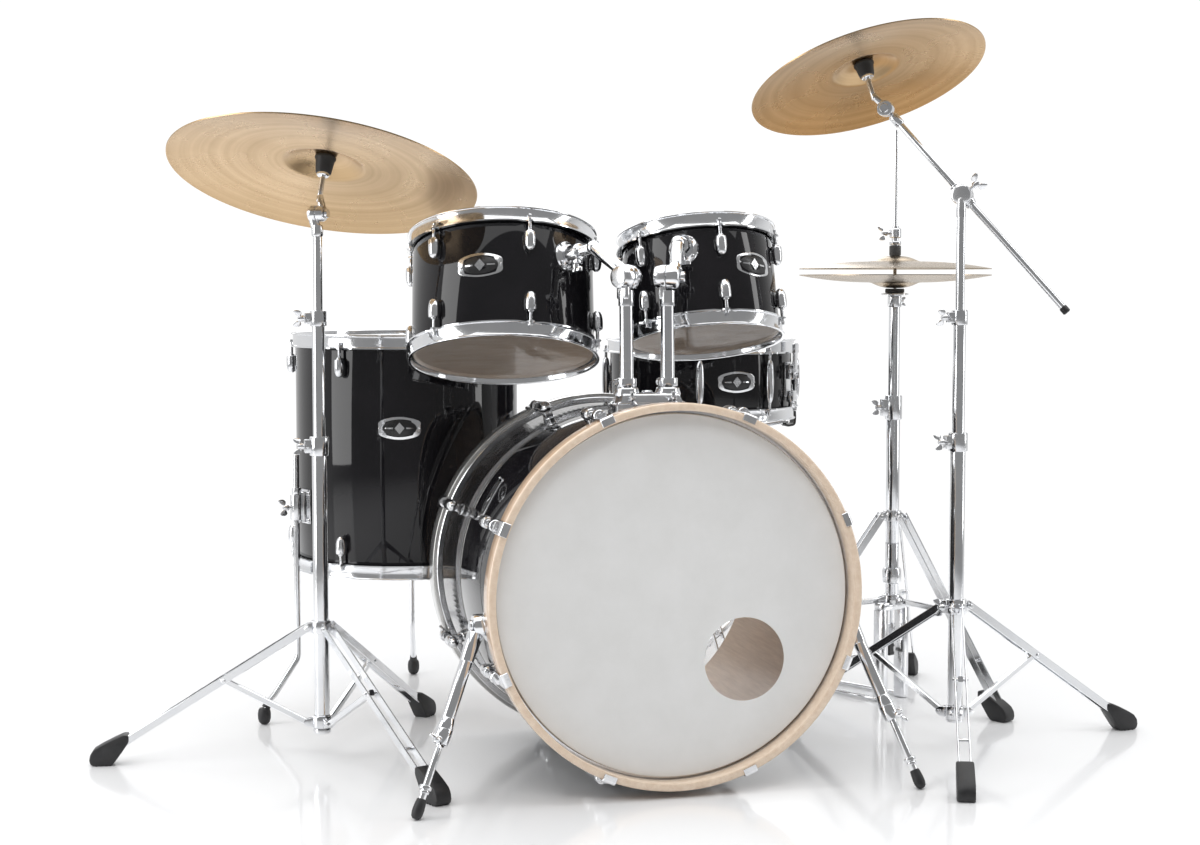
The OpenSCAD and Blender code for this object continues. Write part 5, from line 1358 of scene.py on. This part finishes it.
cast.done("ride_upper_tilter_half", "ride_upper", cast_chrome, "chrome", ("ride_stand_upper_tube",))
head, soft = Shape(RIDE), Shape(RIDE)
head.lathe([(4.1, 0.5), (12, 0.5), (13, 1.6), (13, 11), (11.8, 13.4), (9, 14.1), (4.1, 14.1)], face, 44, closed=True)
for k in range(20):
    head.block((8.6, -0.8, 0.3), (12.4, 0.8, 1.2), face @ turn("Z", k * 18), 0.25)
tipped = at @ turn("Z", RIDE_AZ) @ turn("Y", 19.7)
head.rod((0, -7.2, 9), (0, 0, 31), 6.4, 5.4, soft=1, steps=28, place=tipped)
cymbal_rod(head, soft, 38, 42.4, 19, tipped @ move(0, 0, 24))
head.done("ride_tilter_head", "ride_head", cast_chrome, "chrome", ("ride_tilter",))
soft.done("ride_sleeve_and_felt", "ride_head", rubber, "chrome", ("ride_tilter",))
cymbal_piece("ride_cymbal_plate", RIDE, tipped @ move(0, 0, 62), "ride", "ride_cymbal", 254, 66, 22, 18, 2.2,
        cymbal_bronze)

# %% Boom stand
FEET, LEG_TOP, LEG_LOW, LEG_R, JOINT_R = 8, 241, 60, 366, 160
joint_z = LEG_TOP - (JOINT_R - 24) * (LEG_TOP - 14) / (LEG_R - 24 - 14)
base_stand(BOOM, "boom_stand", "boom_stand_base")
low_ring, top_ring = Shape(BOOM), Shape(BOOM)
low_ring.tube(16.4, 12.7, 49, 71, 1.6, 44)
top_ring.tube(17.6, 12.85, 229, 253.6, 2, 44)
for k in range(3):
    there = turn("Z", FEET + 120 * k)
    for y in (-8.3, 8.3):
        low_ring.plate([(14, 52), (24, 52.4), (30, 56), (31.6, 60), (30, 64), (24, 68), (14, 68.6)], y - 1.6,
                y + 1.6, there @ turn("X", 90), 0.6)
    low_ring.rod((24, -11, 60), (24, 11, 60), 2.9, soft=0.3, steps=18, place=there)
    top_ring.block((15, -4.8, 232.6), (28, 4.8, 249.6), there, 2.4)
    top_ring.rod((24, -12, 241), (24, 12, 241), 2.9, soft=0.3, steps=18, place=there)
wing_bolt(top_ring, turn("Z", FEET + 180) @ move(16, 0, 241), 10, 0.95, 15)
low_ring.done("boom_stand_lower_ring", "standing_parts", cast_chrome, "chrome", ("boom_stand_base",))
top_ring.done("boom_stand_upper_ring", "boom_collar", cast_chrome, "chrome", ("boom_stand_collar",))
for k in range(3):
    there, number = turn("Z", FEET + 120 * k), str(k + 1)
    bars, feet, brace = Shape(BOOM), Shape(BOOM), Shape(BOOM)
    leg_bars(bars, feet, LEG_TOP, LEG_R, (JOINT_R, joint_z), there)
    brace_bar(brace, LEG_LOW, (JOINT_R, joint_z), there)
    bars.done("boom_leg_bars_" + number, "boom_leg_" + number, chrome, "chrome", ("boom_stand_leg_" + number,))
    feet.done("boom_leg_foot_" + number, "boom_leg_" + number, rubber, "chrome", ("boom_stand_leg_" + number,))
    brace.done("boom_brace_bar_" + number, "boom_brace_" + number, chrome, "chrome", ("boom_stand_brace_" + number,))
middle_stand(BOOM, "boom_stand", "boom_middle", "boom_stand_middle_tube")

# %% Boom
BOOM_AZ, BOOM_EL, SIDE, CLAMP_Z, UP, DOWN = 147.5, 48.4, 24, 933, 197, 256
at = move(0, 0, CLAMP_Z)
face = at @ turn("Z", BOOM_AZ - 90) @ turn("Y", 90)
along = at @ turn("Z", BOOM_AZ - 90) @ move(SIDE, 0, 0) @ turn("Z", 90) @ turn("Y", 90 - BOOM_EL)
tube, cast = Shape(BOOM), Shape(BOOM)
tube.rod((0, 0, 590), (0, 0, 914), 7.45, soft=0.8, steps=36)
cast.lathe([(7.4, 896), (8, 896), (8.1, 898), (8.1, 926), (7, 928), (0, 928)], steps=36)
cast.lathe([(0, -7), (12, -7), (15.6, -5.4), (17, -2), (17, 6), (16, 7.8), (0, 7.8)], face, 48)
for k in range(24):
    cast.block((11.6, -0.9, 6.8), (16.2, 0.9, 8.2), face @ turn("Z", k * 15), 0.3)
cast.rod((0, 0, 5), (0, 0, 15.8), 4.4, soft=0.4, steps=20, place=face)
tube.done("boom_upper_tube_skin", "boom_upper", chrome, "chrome", ("boom_stand_upper_tube",))
cast.done("boom_upper_ratchet", "boom_upper", cast_chrome, "chrome", ("boom_stand_upper_tube",))
grip = Shape(BOOM)
grip.lathe([(4.6, 8.6), (15.8, 8.6), (17, 10), (17, 30), (15.6, 34), (12, 36), (9.6, 36), (9.6, 38.6), (8, 40),
        (0, 40)], face, 48)
grip.tube(10.4, 5.7, -20, 20, 2, 40, along @ move(0, -1, 0))
for s in (-1, 1):
    grip.tube(9.2, 5.7, s * 20 - 3, s * 20 + 3, 1, 36, along @ move(0, -1, 0))
wing_bolt(grip, along @ move(-4, -1, 0) @ turn("Z", 180), 20, 1.0, 30)
grip.done("boom_clamp_grip", "boom_pivot", cast_chrome, "chrome", ("boom_clamp",))
arm, cast, dark = Shape(BOOM), Shape(BOOM), Shape(BOOM)
inner = along @ move(0, -1, 0)
arm.rod((0, 0, -DOWN), (0, 0, UP - 14), 5.55, soft=0.5, steps=32, place=inner)
dark.lathe([(0, -DOWN - 6), (5, -DOWN - 6), (6.9, -DOWN - 4.4), (6.9, -DOWN + 4), (6.2, -DOWN + 6.4),
        (5.6, -DOWN + 6.6), (0, -DOWN + 6.6)], inner, 32)
cast.lathe([(0, UP - 36), (7.6, UP - 36), (8.4, UP - 34.4), (8.4, UP - 18), (7, UP - 14.8), (0, UP - 14.8)],
        inner, 36)
head_face = along @ move(0, 0, UP) @ turn("X", -90)
cast.lathe([(0, -8), (9.6, -8), (12.6, -6.4), (13.4, -3), (13.4, 4.4), (12.6, 5.9), (0, 5.9)], head_face, 44)
cast.rod((0, 0, 3), (0, 0, 23), 3.95, soft=0.4, steps=20, place=head_face)
cast.lathe([(0, 21.2), (7.2, 21.2), (7.9, 22), (7.9, 25), (6.8, 26), (0, 26)], head_face, 28)
arm.done("boom_arm_tube", "boom", chrome, "chrome", ("boom_arm",))
cast.done("boom_arm_ratchet", "boom", cast_chrome, "chrome", ("boom_arm",))
dark.done("boom_arm_end_cap", "boom", nylon, "chrome", ("boom_arm",))

# %% Crash cymbal on its tilter
CRASH_AZ, CRASH_TILT = 109.7, 23.6
el, az = radians(BOOM_EL), radians(BOOM_AZ)
pivot = Vector((SIDE * sin(az) + UP * cos(el) * cos(az), -SIDE * cos(az) + UP * cos(el) * sin(az),
        CLAMP_Z + UP * sin(el)))
CRASH = BOOM @ Matrix.Translation(pivot) @ turn("Z", CRASH_AZ) @ turn("Y", CRASH_TILT)
half, head, soft = Shape(BOOM), Shape(CRASH), Shape(CRASH)
half.lathe([(4.1, 6.5), (12.8, 6.5), (13.9, 7.8), (13.9, 17), (12.6, 19.6), (9, 20.5), (4.1, 20.5)], head_face,
        44, closed=True)
for k in range(20):
    half.block((9.4, -0.8, 5.9), (13.2, 0.8, 7.2), head_face @ turn("Z", k * 18), 0.25)
half.done("crash_tilter_disc", "crash_head", cast_chrome, "chrome", ("crash_tilter",))
head.rod((-5, 14.5, 8), (0, 22, 25), 5.4, soft=1, steps=28)
cymbal_rod(head, soft, 33, 37.4, 19, move(0, 22, 20))
head.done("crash_tilter_rod", "crash_head", cast_chrome, "chrome", ("crash_tilter",))
soft.done("crash_sleeve_and_felt", "crash_head", rubber, "chrome", ("crash_tilter",))
cymbal_piece("crash_cymbal_plate", CRASH, move(0, 22, 53), "crash", "crash_cymbal", 203.2, 56, 19, 16, 1.9,
        cymbal_bronze)

# %% [markdown]
# ## Hi-hat
# Two cymbals face each other. The lower one rests on a seat at the top of the tube; the upper one hangs
# from a rod by its clutch. The footboard pulls that rod down through the hollow stand.

# %% Hi-hat stand
HAT_Z, HAT_GAP, PEDAL_AZ, BOARD = 802, 10, 118, 290
tripod(HAT, "hihat_stand", "standing_parts", "hihat_stand_base", 12.75, 349, 190, 268, 178, (138, 184))
tube, cast, base = Shape(HAT), Shape(HAT), Shape(HAT)
tube.tube(12.7, 5.3, 176.4, 300, 0.6, 44)
tube.tube(12.7, 11.3, 296, 551, 0.6, 44)
clamp(cast, 16.2, 11.3, 531, 576.6, side=180, spin=12)
cast.lathe([(5.4, 222), (15, 222), (17.4, 224), (18, 228), (18, 246), (16, 251), (13, 252), (5.4, 252)],
        steps=44, closed=True)
frame_at = turn("Z", PEDAL_AZ - 90)
for s in (-1, 1):
    cast.block((s * 30.5 - 7.6, -12.6, 0.4), (s * 30.5 + 7.6, 12.6, 175), frame_at, 3)
    cast.block((s * 30.5 - 4, -13, 26), (s * 30.5 + 4, 13, 150), frame_at, 1)
cast.block((-38, -12.6, 171), (38, 12.6, 188), frame_at, 5)
cast.tube(18, 13, 186, 196, 1.4, 44)
board_at = turn("Z", PEDAL_AZ)
for s in (-1, 1):
    base.rod((2, s * 36, 5), (BOARD - 14, s * 30.4, 5), 3.9, soft=0.4, steps=20, place=board_at)
    base.block((BOARD - 8, s * 38 - 3.9, 2), (BOARD + 8, s * 38 + 3.9, 25.6), board_at, 2.4)
base.block((BOARD - 21.6, -43.6, 0.3), (BOARD + 21.6, 43.6, 8.8), board_at, 2)
base.rod((BOARD, -43.6, 18), (BOARD, 43.6, 18), 3.95, soft=0.4, steps=24, place=board_at)
tube.done("hihat_base_tube", "standing_parts", chrome, "chrome", ("hihat_stand_base",))
cast.done("hihat_frame", "standing_parts", cast_chrome, "pedal_metal", ("hihat_stand_base",))
base.done("hihat_heel_and_rods", "standing_parts", chrome, "pedal_metal", ("hihat_stand_base",))

# %% Footboard
slope = aim((BOARD, 0, 18), (6, 0, 92))
pedal, links = Shape(HAT), Shape(HAT)
edge = [(-24, 62), (-24, 236), (-20, 258), (-10, 272), (0, 276), (10, 272), (20, 258), (24, 236), (24, 62)]
tilt = board_at @ slope
pedal.plate([(x, z) for x, z in edge], -2.6, 1.4, tilt @ turn("Z", 90) @ turn("X", 90), 1.1)
pedal.block((-3.4, -32.6, 8), (3.2, 32.6, 63), tilt, 2)
for k in range(11):
    pedal.block((-4.1, -18, 78 + 16 * k), (-1.6, 18, 83 + 16 * k), tilt, 0.8)
for y in (-21.6, 21.6):
    pedal.block((-4, y - 1.6, 70), (-1.4, y + 1.6, 238), tilt, 0.8)
for k in range(3):
    pedal.block((-4.6, -26, 20 + 13 * k), (-2.6, 26, 25 + 13 * k), tilt, 0.8)
pedal.tube(8.8, 4.05, -32.6, 32.6, 1, 40, board_at @ move(BOARD, 0, 18) @ turn("X", 90))
links.block((-2.8, -7.8, 84.2), (30, 7.8, 91.6), board_at, 2)
links.block((-1.8, -6.8, 85), (3.8, 6.8, 109.6), board_at, 1.4)
links.rod((1, -9, 102), (1, 9, 102), 2.4, soft=0.3, steps=16, place=board_at)
pedal.done("hihat_footboard", "pedal", cast_chrome, "pedal_metal", ("hihat_pedal",))
links.done("hihat_pedal_link", "pedal", nylon, "pedal_metal", ("hihat_pedal",))

# %% Hi-hat seat, clutch and cymbals
tube, cast, soft = Shape(HAT), Shape(HAT), Shape(HAT)
tube.tube(10.45, 8.55, 380, 742, 0.6, 44)
cast.tube(13, 4.7, 741.6, 764, 2, 44)
cast.lathe([(4.7, 763.6), (23, 763.6), (26, 765), (25.6, 767.2), (20, 768), (4.7, 768)], steps=56, closed=True)
soft.tube(17.8, 4.7, 768.1, 776, 1.8, 44)
wing_bolt(cast, move(12, 0, 752) @ turn("Z", 0), 0.6, 0.55, 0)
tube.done("hihat_upper_tube_skin", "hihat_seat", chrome, "chrome", ("hihat_upper_tube",))
cast.done("hihat_seat_cup", "hihat_seat", cast_chrome, "chrome", ("hihat_upper_tube",))
soft.done("hihat_seat_felt", "hihat_seat", felt, "chrome", ("hihat_upper_tube",))
cymbal_piece("hihat_bottom_plate", HAT, move(0, 0, HAT_Z) @ MIRROR, "hihat_seat", "hihat_bottom_cymbal", 177.8,
        44, 13, 10.5, 1.6, hat_bronze)
cymbal_piece("hihat_top_plate", HAT, move(0, 0, HAT_Z + HAT_GAP), "hihat_rod", "hihat_top_cymbal", 177.8, 44,
        13, 10.5, 1.35, hat_bronze)
rod, clutch, soft, z = Shape(HAT), Shape(HAT), Shape(HAT), HAT_Z + HAT_GAP
rod.rod((0, 0, 114), (0, 0, 1070), 3.35, soft=0.6, steps=24)
clutch.rod((0, 0, 112.4), (0, 0, 145.6), 6.9, soft=1, steps=28)
clutch.tube(6.8, 3.3, z + 26, z + 80, 0.8, 32)
clutch.lathe([(3.4, z + 12.2), (8, z + 12.2), (9.6, z + 13.4), (9.6, z + 16), (3.4, z + 16)], steps=32, closed=True)
clutch.lathe([(6.7, z + 58.2), (9.8, z + 58.2), (11, z + 60), (11, z + 74), (9.8, z + 75.8), (6.7, z + 75.8)],
        steps=32, closed=True)
clutch.lathe([(6.7, z + 45.4), (10.4, z + 45.4), (11, z + 46.4), (11, z + 51), (10.2, z + 52), (6.7, z + 52)],
        steps=32, closed=True)
wing_bolt(clutch, move(-9, 0, z + 67) @ turn("Z", 180), 9, 0.9, 20)
soft.tube(10.8, 3.5, z + 16, z + 21.8, 1.4, 36)
soft.tube(10.9, 3.6, z + 24.8, z + 44.4, 2.4, 36)
rod.done("hihat_pull_rod", "hihat_rod", chrome, "chrome", ("hihat_top_cymbal",))
clutch.done("hihat_clutch", "hihat_rod", cast_chrome, "chrome", ("hihat_top_cymbal",))
soft.done("hihat_clutch_felts", "hihat_rod", felt, "chrome", ("hihat_top_cymbal",))
print("hi-hat ready")
